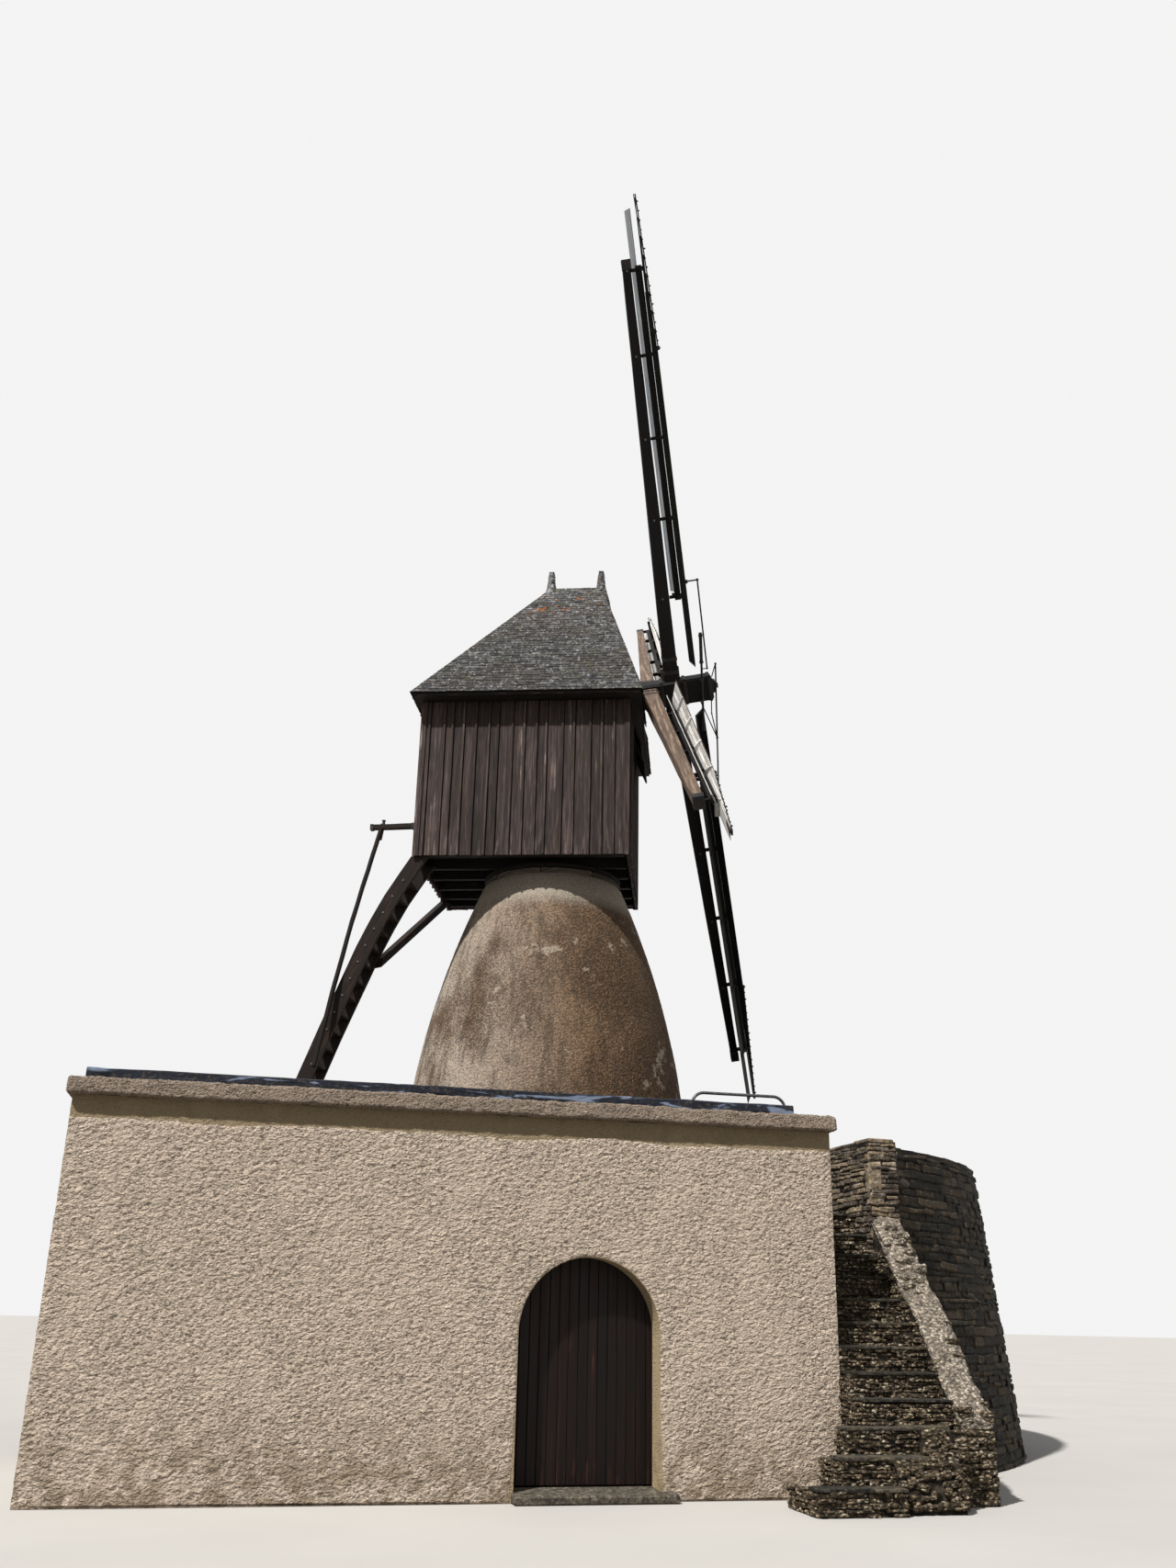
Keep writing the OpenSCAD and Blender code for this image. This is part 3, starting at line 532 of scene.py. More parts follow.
FINISHES = {
    "cabin_boards": lambda n: timber(
        n, "boards", "boards_worn", 0.30, "46382e", low=CAB_Z, spread=0.07
    ),
    "dark_timber": lambda n: timber(n, "beams", "5d524c", 0.15),
    "ladder_timber": lambda n: timber(n, "241d1a", "5a4e47", 0.2, "3f2a1f"),
    "frame_timber": lambda n: timber(n, "beams", "4b423d", 0.1, at=(0, 0, math.radians(18.5))),
    "arm_timber": lambda n: timber(n, "1c1918", "4b4340", 0.1),
    "stock_dark": lambda n: timber(n, "stock_dark", "4d4b4a", 0.1, gloss=0.7),
    "stock_tan": lambda n: timber(n, "stock_tan", "b8ada2", 0.35, "54402f"),
    "slats": lambda n: timber(n, "slats", "f3f2ee", 0.8, "b5ada0", spread=0.2),
    "slats_dark": lambda n: timber(n, "slats_dark", "55564f", 0.15, gloss=0.8),
    # painted light: the pale leading board of the first wing, where the sun falls on it
    "lead_board": lambda n: timber(n, "b4b9bf", "f0f1f3", 0.8, spread=0.16),
    "door_boards": lambda n: timber(n, "door", "5b3a2e", 0.05, low=0.02, gloss=0.6),
    "slates": slates,
    "schist": lambda n: stonework(n, schist_stops("schist"), 0.2, pale="77705f"),
    "stair_stone": lambda n: rubble(n, "83745f", 0.25, "d2c7b2"),
    "top_stone": lambda n: rubble(n, "a89c8d", 0.65, "cfc6b8", 0.5),
    "ring_timber": lambda n: timber(n, "6a6258", "8d8375", 0.3),
    "quoin_stone": lambda n: stonework(n, schist_stops("6d6358", "8a7960"), 0.4, pale="b1a797"),
    "mortar": lambda n: stonework(n, schist_stops("28241f", "3a3329"), 0.1, toned=False, pale="544c40"),
    "slab": lambda n: stonework(n, schist_stops("423e38", "57503f"), 0.3, relief=0.010, pale="7d776a"),
    "sill_stone": lambda n: stonework(n, schist_stops("5a544b", "6b6253"), 0.3, relief=0.008),
    "coping": lambda n: front_render(n, "coping", 1.5, 1.1),
    "front_render": lambda n: front_render(n, "front"),
    # the smooth render is the same lime as the front: its darker tint is painted shade in the band under the
    # coping, and its lightening below 2.2 m is painted light on the jambs
    "smooth_render": lambda n: front_render(n, "b09e80", 2.0, 0.4, 1.3),
    "cone_render": cone_render,
    "iron": lambda n: metal(n, "iron", 0.35),
    "tube": lambda n: metal(n, "5d6064", 0.15, 0.7, 0.45),
    "sheet": lambda n: sheeting(n, "1d2029", "39414f", 0.66),
    "flashing": lambda n: sheeting(n, "20242f", "7f8da6", 0.64),
    "earth": earth,
}


def finish(name):
    """The material of this finish, made at its first use."""
    return bpy.data.materials.get("finish_" + name) or FINISHES[name]("finish_" + name)


# ---------------------------------------------------------------- mesh making

scratch = bpy.data.meshes.new("scratch")


class Piece:
    """A piece in the making: small shapes are gathered in one mesh, each with its tone and grain."""

    def __init__(self, name, base=Matrix()):
        """The places of its shapes are given in the frame `base`."""
        self.name = name
        self.base = base
        self.mesh = bmesh.new()
        self.mesh.faces.layers.float.new("tone")
        self.mesh.loops.layers.uv.new("grain")
        self.dice = random.Random(name)

    def add(self, part, place=Matrix(), tone=None, grain=(1, 0, 0)):
        """Take in a shape; its grain runs along `grain` in the shape's own frame."""
        tone_of = part.faces.layers.float.new("tone")
        map_of = part.loops.layers.uv.new("grain")
        tone = self.dice.random() if tone is None else tone
        du, dv = self.dice.uniform(0, 40), self.dice.uniform(0, 40)
        along = Vector(grain).normalized()
        side = Vector((-along.y, along.x, 0)).normalized() if abs(along.z) < 0.9 else Vector((0, 1, 0))
        other = along.cross(side)
        for face in part.faces:
            face[tone_of] = tone
            for loop in face.loops:
                at = loop.vert.co
                loop[map_of].uv = (at.dot(along) + du, at.dot(side) + at.dot(other) + dv)
        self.take(part, place)

    def take(self, part, place):
        """Move the faces of a shape over to the piece."""
        place = self.base @ place
        part.transform(place)
        if place.determinant() < 0:
            bmesh.ops.reverse_faces(part, faces=part.faces)
        part.to_mesh(scratch)
        part.free()
        self.mesh.from_mesh(scratch)

    def block(
        self, size, place=Matrix(), bevel=0.004, rough=0.0, cuts=0,
        tone=None, form=None, across=0, round_off=1, grain=(1, 0, 0),
    ):
        """A bevelled box centred on its place, with its grain along X and cuts along and across it."""
        part = bmesh.new()
        bmesh.ops.create_cube(part, size=1.0, matrix=Matrix.Diagonal((*size, 1.0)))
        if bevel:
            bevel_edges(part, part.edges[:], bevel, round_off)
        for axis, count in enumerate((cuts, across, across)):
            if count:
                reach = size[axis] * 0.5
                long = [e for e in part.edges if abs((e.verts[0].co - e.verts[1].co)[axis]) > reach]
                bmesh.ops.subdivide_edges(part, edges=long, cuts=count, use_grid_fill=True)
        if rough:
            drift = Vector([self.dice.uniform(-50, 50) for _ in range(3)])
            pitch = 1.5 / max(0.04, min(size[0], 0.4))
            for v in part.verts:
                v.co += noise.noise_vector(v.co * pitch + drift) * rough
        if form:
            reform(part, form)
        self.add(part, place, tone, grain)

    def beam(self, start, end, wide, deep, up=(0, 0, 1), place=Matrix(), **more):
        """A bevelled timber from one point to another."""
        size = ((Vector(end) - Vector(start)).length, wide, deep)
        self.block(size, place @ aimed(start, end, up), **more)

    def plate(self, outline, thick, place, bevel=0.004, grain=(1, 0, 0), rough=0.0):
        """A flat shape of a few corners in XY, raised along Z."""
        part = bmesh.new()
        face = part.faces.new([part.verts.new((x, y, 0)) for x, y in outline])
        flatten(bmesh.ops.extrude_face_region(part, geom=[face])["geom"], thick)
        bmesh.ops.recalc_face_normals(part, faces=part.faces)
        if bevel:
            bevel_edges(part, part.edges[:], bevel)
        if rough:
            for v in part.verts:
                v.co += noise.noise_vector(v.co * 6 + Vector((self.dice.random() * 9, 0, 0))) * rough
        self.add(part, place, None, grain)

    def rod(self, start, end, radius, place=Matrix(), sides=10, radius2=None, tone=None):
        """A round bar between two points."""
        start, end = Vector(start), Vector(end)
        part = bmesh.new()
        bmesh.ops.create_cone(
            part, cap_ends=True, segments=sides, depth=(end - start).length,
            radius1=radius, radius2=radius if radius2 is None else radius2,
        )
        way = (end - start).normalized().to_track_quat("Z", "Y").to_matrix().to_4x4()
        way.translation = (start + end) / 2
        self.add(part, place @ way, tone, (0, 0, 1))

    def turning(self, profile, steps, place=Matrix(), closed=True, form=None):
        """A lathe shape: a profile of (radius, height) spun round Z."""
        part = bmesh.new()
        verts = [part.verts.new((r, 0, z)) for r, z in profile]
        pairs = zip(verts, verts[1:] + verts[:1] if closed else verts[1:])
        edges = [part.edges.new(pair) for pair in pairs]
        bmesh.ops.spin(
            part, geom=verts + edges, cent=(0, 0, 0), axis=(0, 0, 1),
            angle=math.tau, steps=steps, use_merge=True,
        )
        bmesh.ops.remove_doubles(part, verts=part.verts, dist=1e-6)
        bmesh.ops.recalc_face_normals(part, faces=part.faces)
        if form:
            reform(part, form)
        self.add(part, place, grain=(0, 0, 1))

    def done(self, body, material, slot, replaces=(), smooth=False):
        """Make the object, dress it and set it on its body."""
        mesh = bpy.data.meshes.new(self.name)
        if smooth:
            for face in self.mesh.faces:
                face.smooth = True
        self.mesh.to_mesh(mesh)
        self.mesh.free()
        if smooth:
            mesh.set_sharp_from_angle(angle=math.radians(38))
        made = bpy.data.objects.new(self.name, mesh)
        bpy.context.scene.collection.objects.link(made)
        mesh.materials.append(finish(material))
        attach(made, body)
        if replaces:
            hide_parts(*replaces)


def bevel_edges(part, edges, offset, segments=1):
    bmesh.ops.bevel(
        part, geom=edges, offset=offset, offset_type="OFFSET", segments=segments, profile=0.5,
        affect="EDGES", material=-1, clamp_overlap=True,
    )


def reform(part, form):
    """Give each corner of a shape the place that `form` works out for it."""
    for v in part.verts:
        v.co = form(v.co)


def flatten(made, z):
    """Set the corners that an extrusion made to one height."""
    for v in made:
        if isinstance(v, bmesh.types.BMVert):
            v.co.z = z


def close_below(part, z):
    """Draw the open rim of a sheet down to a height, and close the shape there."""
    rim = [e for e in part.edges if e.is_boundary]
    flatten(bmesh.ops.extrude_edge_only(part, edges=rim)["geom"], z)
    bmesh.ops.contextual_create(part, geom=[e for e in part.edges if e.is_boundary])
    bmesh.ops.recalc_face_normals(part, faces=part.faces)


def lumps(at, scale, seed=0.0):
    """Noise of three sizes, about -1 to 1."""
    at = at * scale + Vector((seed, seed * 0.7, -seed))
    return noise.noise(at) * 0.6 + noise.noise(at * 2.3) * 0.3 + noise.noise(at * 5.1) * 0.2


def lay_courses(
    piece, wide, high, place, course, stone, depth=0.16, proud=(0.004, 0.026), keep=None, joint=0.009
):
    """Rows of rough stones over a face; place(u, v) is the frame there, with Y out of the face."""
    dice = piece.dice
    for v, h in strips(dice, 0.0, high, course, course[0] * 0.7, 0.02):
        # the stones of a low course are longer
        for u, w in strips(dice, 0.0, wide, stone, stone[0] * 0.7, 0.01, 1.25 if h < 0.07 else 1.0):
            if keep and not keep(u + w / 2, v + h / 2):
                continue
            out = dice.uniform(*proud)
            lean = turned(dice.uniform(-3, 3), "Y") @ turned(dice.uniform(-3, 3), "Z")
            # the courses wander up and down, but not at the foot and the top
            free = min(1.0, 4 * v, 6 * (high - v - h / 2))
            wave = 0.022 * free * noise.noise(Vector((u * 1.3, v * 2.5, 7)))
            at = place(u + w / 2, v + h / 2 + wave) @ moved(0, out - depth / 2, 0) @ lean
            gaps = (joint * dice.uniform(-0.4, 1.3), joint * dice.uniform(-0.3, 1.0))
            size = (w - gaps[0], depth, (h - gaps[1]) * dice.uniform(0.86, 1.04))
            piece.block(size, at, bevel=min(0.014, h * 0.2), rough=0.018)


def clad(piece, corner, outward, wide, high, **more):
    """Courses over an upright flat face from its lower corner, which is at the left seen from outside."""
    at = facing(corner, outward)
    # seen from outside, X of facing() runs to the left, so the rows run against it
    lay_courses(piece, wide, high, lambda u, v: at @ moved(-u, 0, v), **more)


def rough_skin(piece, wide, high, place, relief, cell=0.026, hole=None, snap=None, sag=0.0):
    """A thin closed skin of rough render: X along, Y up, Z outwards; hole and snap shape an opening."""
    part = bmesh.new()
    nx, ny = max(2, round(wide / cell)), max(2, round(high / cell))
    bmesh.ops.create_grid(part, x_segments=nx, y_segments=ny, size=0.5)
    spread = moved(wide / 2, high / 2, 0) @ Matrix.Diagonal((wide, high, 1, 1))
    bmesh.ops.transform(part, matrix=spread, verts=part.verts)
    if hole:
        gone = [f for f in part.faces if hole(*f.calc_center_median().xy)]
        bmesh.ops.delete(part, geom=gone, context="FACES")
        for v in part.verts:
            if v.is_boundary and 0.5 * cell < v.co.x < wide - 0.5 * cell and v.co.y < high - 0.5 * cell:
                v.co.xy = snap(*v.co.xy)
    for v in part.verts:
        over = v.co.y - high + 0.6
        if sag and over > 0:
            drift = noise.noise(Vector((v.co.x * 1.1, 4, 0))) + 0.35 * noise.noise(Vector((v.co.x * 9, 0, 2)))
            v.co.y += sag * drift * over / 0.6
        at = place @ v.co
        lift = 0.5 + 0.75 * lumps(at, 15) + 0.35 * lumps(at, 40.5, 9)
        v.co.z = relief * max(0.05, lift) * (0.35 if v.is_boundary else 1.0)
    if hole:
        flatten(bmesh.ops.extrude_face_region(part, geom=part.faces[:], use_keep_orig=True)["geom"], -SKIN)
        bmesh.ops.recalc_face_normals(part, faces=part.faces)
    else:
        close_below(part, -SKIN)
    piece.add(part, place)


# ---------------------------------------------------------------- operators, from the ground up


class Maker(bpy.types.Operator):
    """Shared part of the operators"""

    bl_options = {"REGISTER", "UNDO"}

    def execute(self, context):
        self.make()
        return {"FINISHED"}


class WINDMILL_OT_front(Maker):
    """Rough render on the front and sides of the front room"""

    bl_idname = "windmill.front"
    bl_label = "Front render"

    def make(self):
        relief = sizes().render_relief
        skin = Piece("front_render")
        door = DOOR_X - LEFT

        def edge(y):
            return DOOR_HALF + 0.008 + 0.03 * max(0.0, 1 - y / 0.8)

        def hole(x, y):
            if y < SPRING:
                return abs(x - door) < edge(y)
            return math.hypot(x - door, y - SPRING) < edge(y)

        def snap(x, y):
            if y < SPRING:
                return Vector((door + math.copysign(edge(y), x - door), y))
            out = Vector((x - door, y - SPRING)).normalized() * edge(y)
            return Vector((door, SPRING)) + out

        front = axes((1, 0, 0), (0, 0, 1), (0, -1, 0), (LEFT, FRONT_Y, 0.0))
        under_coping, side_top, side_cell = 3.155, 3.33, 0.034
        rough_skin(skin, RIGHT - LEFT, under_coping, front, relief, hole=hole, snap=snap, sag=0.05)
        skin.done("base", "front_render", "facade_render", smooth=True)
        sides = Piece("side_render")
        left = axes((0, -1, 0), (0, 0, 1), (-1, 0, 0), (LEFT, -2.9, 0.0))
        # the right side starts behind the front skin and ends in the round wall
        right = axes((0, 1, 0), (0, 0, 1), (1, 0, 0), (RIGHT, FRONT_Y + 0.006, 0.0))
        rough_skin(sides, -2.906 - FRONT_Y, side_top, left, relief, side_cell)
        rough_skin(sides, 1.38, side_top, right, relief, side_cell)
        sides.done("base", "front_render", "facade_render", smooth=True)


class WINDMILL_OT_coping(Maker):
    """Rough mortared coping on the front wall"""

    bl_idname = "windmill.coping"
    bl_label = "Coping"

    def make(self):
        piece = Piece("coping_stones")
        long, high = RIGHT - LEFT + 0.12, 0.158

        def form(co):
            lift = lumps(co, 11) * 0.016 + lumps(co, 34) * 0.010 + noise.noise(co * 2.1) * 0.010
            lip = 0.024 * (0.5 - co.z / high) if co.y < 0 else 0.0
            return co + Vector((0, -lift - lip, lift * 0.8))

        at = moved((LEFT + RIGHT) / 2, -6.615, WALL_TOP + 0.08)
        piece.block((long, 0.505, high), at, 0.03, cuts=round(long / 0.026), form=form, across=7, round_off=3)
        piece.done("base", "coping", "coping_stone", ["facade_coping"], smooth=True)


class WINDMILL_OT_roof_edge(Maker):
    """Flashing over the upstand behind the coping, and feet of the hoop rail"""

    bl_idname = "windmill.roof_edge"
    bl_label = "Roof edge"

    def make(self):
        sheet = Piece("upstand_flashing")
        part = bmesh.new()
        long, fall, half = 7.12, 0.09, 0.047
        bmesh.ops.create_grid(part, x_segments=240, y_segments=10, size=0.5)
        bmesh.ops.transform(part, matrix=Matrix.Diagonal((long, 1, 1, 1)), verts=part.verts)
        for v in part.verts:
            # s runs across the sheet: down the front, over the top, down the back
            x, s = v.co.x, (v.co.y + 0.5) * 3 * fall
            wave = 0.5 + 0.9 * noise.noise(Vector((x * 2.3, 0, 1))) + 0.4 * noise.noise(Vector((x * 7, 3, 0)))
            drop = 0.085 + 0.05 * noise.noise(Vector((x * 1.7, 5, 0)))
            if s < fall:
                v.co.yz = -half - 0.014 * wave * (1 - s / fall), -drop * (1 - s / fall)
            elif s < 2 * fall:
                v.co.yz = -half + (s - fall) / fall * 2 * half, 0.008 * wave
            else:
                v.co.yz = half + 0.004, 2 * fall - s
        bmesh.ops.solidify(part, geom=part.faces[:], thickness=0.004)
        bmesh.ops.recalc_face_normals(part, faces=part.faces)
        sheet.add(part, moved(LEFT + 0.035 + long / 2, -6.295, 3.668))
        sheet.done("base", "flashing", "roof_sheet", smooth=True)
        feet = Piece("rail_feet")
        plate_top = WALL_TOP + 0.01
        for x in (0.23, 1.27):
            feet.rod((x, -6.19, WALL_TOP), (x, -6.19, plate_top), 0.045, sides=16)
            feet.rod((x, -6.19, plate_top), (x, -6.19, WALL_TOP + 0.05), 0.022, sides=14)
            for a in (45, 135, 225, 315):
                at = moved(x, -6.19, plate_top) @ turned(a, "Z") @ moved(0.033, 0, 0)
                feet.rod((0, 0, 0), (0, 0, 0.008), 0.007, at, sides=6)
        feet.done("base", "tube", "tube")


class WINDMILL_OT_door(Maker):
    """Board door with its ledges, straps and sill"""

    bl_idname = "windmill.door"
    bl_label = "Door"

    def make(self):
        leaf = Piece("door_boards")
        half, foot, wide = DOOR_HALF + 0.032, 0.11, sizes().door_board
        at = upright((DOOR_X, -6.48, 0.0), (1, 0, 0), (0, -1, 0))
        count = round(2 * half / wide)
        wide = 2 * half / count
        for k in range(count):
            x0, x1 = -half + k * wide + 0.0008, -half + (k + 1) * wide - 0.0008
            tops = [x0 + (x1 - x0) * j / 4 for j in range(5)]
            arch = [(SPRING + math.sqrt(max(0.0, half * half - x * x)), x) for x in tops]
            outline = [(foot, x1), (foot, x0)] + arch
            leaf.plate(outline, 0.054 - 0.0016 * leaf.dice.random(), at, bevel=0.006)
        leaf.done("door", "door_boards", "door_wood", ["door_leaf"])
        # straps, pins and ledges are on the room's side
        pin, back = -1.70, -6.470
        kit = Piece("door_fittings")
        for z in (0.425, 1.275):
            kit.beam((pin, back + 0.002, z), (-1.0, back + 0.002, z), 0.016, 0.05, bevel=0.002)
            kit.rod((pin, back, z - 0.045), (pin, back, z + 0.045), 0.018, sides=16)
            for k in range(4):
                x = -1.58 + 0.17 * k
                kit.rod((x, back + 0.008, z), (x, back + 0.015, z), 0.009, sides=8)
        kit.done("door", "iron", "iron")
        ledges = Piece("door_ledges")
        rear = back + 0.003
        for z in (0.56, 1.42):
            ledges.beam((-1.62, rear, z), (-0.36, rear, z), 0.028, 0.13, bevel=0.004)
        ledges.beam((-1.55, rear, 0.63), (-0.42, rear, 1.34), 0.028, 0.11, bevel=0.004)
        ledges.done("door", "door_boards", "door_wood")
        pins = Piece("hinge_pins")
        for z in (0.38, 1.23):
            pins.beam((pin - 0.03, back, z - 0.017), (pin, back, z - 0.017), 0.016, 0.026, bevel=0.002)
            pins.rod((pin, back, z - 0.03), (pin, back, z + 0.10), 0.009, sides=14)
        pins.done("base", "iron", "iron", ["door_pintles"])
        sill = Piece("door_sill_stone")

        def form(co):
            slope = -0.028 * max(0.0, -co.y / 0.2) if co.z > 0 else 0.0
            return co + Vector((0, lumps(co, 6, 3.0) * 0.006, slope + lumps(co, 11, 3.0) * 0.004))

        sill.block((1.52, 0.43, 0.1), moved(DOOR_X + 0.06, -6.755, 0.05), bevel=0.012, cuts=30, form=form)
        sill.done("base", "sill_stone", "floor_paving", ["door_sill"], smooth=True)


class WINDMILL_OT_round_wall(Maker):
    """Drystone courses of the round wall, and its cap"""

    bl_idname = "windmill.round_wall"
    bl_label = "Round wall"

    def make(self):
        mean, inner = 6.2, RING_TOP - RING_T + 0.03
        course = (sizes().course_low, sizes().course_high)
        for k, (first, last) in enumerate(((-63.3, 2), (2, 72), (72, 142), (142, 207.6))):
            piece = Piece(f"wall_stones_{k + 1}")
            start = math.radians(first)

            def place(u, v):
                a = start + u / mean
                r = RING_FOOT - (RING_FOOT - RING_TOP) * v / RING_H
                return facing((r * math.cos(a), r * math.sin(a), v), (math.cos(a), math.sin(a), 0.10))

            def lid(u, v):
                a = start + u / mean
                spot = ((inner + v) * math.cos(a), (inner + v) * math.sin(a), RING_H)
                return facing(spot, (0, 0, 1), (math.cos(a), math.sin(a), 0))

            wide = math.radians(last - first) * mean
            lay_courses(piece, wide, RING_H - 0.05, place, course, (0.14, 0.46))
            lay_courses(piece, wide, RING_T - 0.02, lid, (0.16, 0.34), (0.2, 0.45), 0.07, (0.0, 0.02))
            piece.done("base", "schist", "rubble_masonry")


class WINDMILL_OT_stair(Maker):
    """Rubble and slabs of the stair, its sloping wall and the pier"""

    bl_idname = "windmill.stair"
    bl_label = "Stair"

    def step_x(self, i):
        """Left and right end of a step: the lowest three spread out, the others lie in the lane."""
        spread = ((-0.76, 0.06), (-0.44, 0.42), (-0.27, 0.73))
        return (RIGHT + spread[i][0], RIGHT + spread[i][1]) if i < len(spread) else (RIGHT, LANE)

    def make(self):
        heaps = Piece("stair_rubble")
        slabs = Piece("stair_slab_stones")
        dice = slabs.dice
        thin = dict(course=(0.024, 0.05), stone=(0.035, 0.13), depth=0.10, proud=(0.0, 0.03), joint=0.004)
        for i in range(12):
            x0, x1 = self.step_x(i)
            y, top = STAIR_Y + i * TREAD, (i + 1) * RISER
            low = 0.0 if i == 0 else i * RISER - 0.01
            clad(heaps, (x0, y + 0.02, low), (0, -1, 0), x1 - x0, top - 0.026 - low, **thin)
            if i < 6:
                deep = TREAD if i > 2 else STAIR_Y + 3 * TREAD - y
                clad(heaps, (x0, y + deep, 0), (-1, 0, 0), deep - 0.02, top - 0.04, **thin)
            # one to three irregular slabs lie side by side on each step
            back = y + TREAD + 0.014 if i < 11 else WELL_BACK - 0.004
            start, end = (x0 - 0.01, x1 + 0.012) if i < 3 else (x0 + 0.004, x1 - 0.004)
            for x, w in strips(dice, start, end, (0.34, 0.62), 0.25, 0.05):
                nose = [(x + 0.004 + (w - 0.008) * k / 5, y - dice.uniform(-0.004, 0.022)) for k in range(6)]
                outline = nose + [(x + w - 0.004, back), (x + 0.004, back)]
                at = moved(0, 0, top - 0.027 - dice.uniform(0, 0.004))
                slabs.plate(outline, 0.024 + dice.uniform(0, 0.006), at, bevel=0.005, rough=0.005)
        # two more steps turn left, up to the flat roof
        for k in (0, 1):
            z = LANDING + (k + 1) * 0.23
            x1 = RIGHT - 0.27 * k
            left, front, back = 0.708, -5.392, -4.508
            outline = [(left, front), (x1 + 0.01, front), (x1 + 0.015, -4.95), (x1, back), (left, back)]
            slabs.plate(outline, 0.038, moved(0, 0, z - 0.04), bevel=0.007, rough=0.005)
            clad(heaps, (x1 - 0.02, -5.395, z - 0.23), (1, 0, 0), 0.89, 0.19, **thin)
        for k, long in ((0, 0.6), (1, 0.39)):
            self.heap(heaps, dice, k, long)
        heaps.done("base", "stair_stone", "rubble_masonry")
        slabs.done("base", "slab", "slate", ["stair_slabs"])
        self.parapet()
        self.pier()

    def heap(self, piece, dice, k, long):
        """Rubble heaped beside one of the two lowest steps."""
        x, y = self.step_x(k)[1] + 0.003, STAIR_Y + (k + 1) * TREAD
        slope = [(-0.13, 0.0)]
        slope += [(back, (k + steps) * RISER) for back, steps in ((-0.13, 0.8), (-0.06, 1.7), (-0.01, 1.88))]
        for (ya, za), (yb, zb) in zip(slope, slope[1:]):
            high = math.hypot(yb - ya, zb - za)
            for _ in range(round(long * high / 0.0042) + 6):
                u, v = dice.random(), dice.random()
                size = (dice.uniform(0.05, 0.14), dice.uniform(0.05, 0.09), dice.uniform(0.03, 0.07))
                spot = (x + 0.03 + u * (long - 0.05), y + ya + (yb - ya) * v, max(0.06, za + (zb - za) * v))
                twist = turned(dice.uniform(-25, 25), "Z") @ turned(dice.uniform(-14, 14), "Y")
                piece.block(size, moved(*spot) @ twist, 0.012, 0.016)
        for _ in range(26 + 20 * k):
            u, v = dice.random(), dice.random()
            at = moved(x + long - 0.01, y - 0.02 - u * 0.10, 0.055 + v * (k + 1.5) * RISER * (1 - 0.4 * u))
            piece.block((0.05, dice.uniform(0.05, 0.11), dice.uniform(0.03, 0.07)), at, 0.012, 0.016)

    def line(self, y):
        """Height of the sloping wall's top over its distance from the first riser."""
        marks = ((0.64, -0.06), (0.94, -0.02), (1.18, 0.09), (1.36, 0.15))
        marks += ((1.70, 0.13), (2.00, 0.21), (2.27, 0.26))
        d = y - STAIR_Y
        return RISER * (1 + d / TREAD) + between(marks, d)

    def parapet(self):
        piece = Piece("parapet_stones")
        start, end = STAIR_Y + 0.58, PIER_Y
        thin = dict(course=(0.035, 0.08), stone=(0.08, 0.26), depth=0.14, proud=(0.0, 0.022))
        clad(
            piece, (LANE + 0.004, end, 0.3), (-1, 0, 0), end - start, 2.9,
            keep=lambda u, v: v + 0.3 < self.line(end - u) - 0.05, **thin,
        )
        clad(
            piece, (LANE + PIER_W, start, 0.0), (1, 0, 0), end - start, 3.2,
            keep=lambda u, v: v < self.line(start + u) - 0.05, **thin,
        )
        clad(piece, (LANE, start, 0.0), (0, -1, 0), PIER_W, self.line(start) - 0.05, **thin)
        piece.done("base", "stair_stone", "rubble_masonry")
        # a rounded ridge of mortar and small stones runs along the top
        cap = Piece("parapet_top")
        dice = cap.dice
        long = end - start + 0.01

        def form(co):
            y = start + (co.x / long + 0.5) * long
            round_off = 0.035 * (co.y / 0.17) ** 2 if co.z > 0 else 0.0
            spot = Vector((LANE + 0.165 + co.y, y, self.line(y) - 0.008 + co.z - round_off))
            lift = lumps(spot, 7, 4) * 0.030 + lumps(spot, 19, 8) * 0.018
            out = Vector((math.copysign(0.7, co.y) if abs(co.y) > 0.12 else 0.0, 0, 1.0 if co.z > 0 else 0.0))
            return spot + out * lift

        size = (long, 0.345, 0.12)
        cap.block(size, bevel=0.03, cuts=90, form=form, across=12, round_off=3, grain=(0, 1, 0))
        y = start + 1.0
        while y < end - 0.02:
            for _ in range(2):
                size = (dice.uniform(0.07, 0.17), dice.uniform(0.08, 0.17), dice.uniform(0.05, 0.10))
                at = moved(LANE + dice.uniform(0.04, 0.29), y, self.line(y) + 0.02)
                twist = turned(dice.uniform(0, 180), "Z") @ turned(dice.uniform(-16, 16), "Y")
                cap.block(size, at @ twist, 0.022, 0.02, cuts=2, across=2)
            y += 0.075
        cap.done("base", "top_stone", "rubble_masonry", smooth=True)

    def pier(self):
        piece = Piece("pier_stones")
        thin = dict(course=(0.03, 0.075), stone=(0.07, 0.26), depth=0.12, proud=(0.0, 0.022))
        clad(piece, (LANE, PIER_Y, 2.2), (0, -1, 0), PIER_W, 1.2, **thin)
        clad(piece, (LANE, WELL_BACK + 0.35, 2.2), (-1, 0, 0), 1.59, 1.2, **thin)
        clad(piece, (LANE + PIER_W, PIER_Y, 0.0), (1, 0, 0), 1.59, 3.4, **thin)
        clad(piece, (RIGHT, WELL_BACK, LANDING), (0, -1, 0), LANE - RIGHT, 0.74, **thin)
        # flat cap stones, four on the pier and three on the wall behind the stair
        caps = [((0.32, 0.385, 0.05), LANE + 0.165, PIER_Y + 0.2 + u * 0.4) for u in range(4)]
        caps += [((0.29, 0.34, 0.05), RIGHT + 0.16 + u * 0.3, WELL_BACK + 0.18) for u in range(3)]
        for size, x, y in caps:
            piece.block(size, moved(x, y, RING_H + 0.004), 0.012, 0.02)
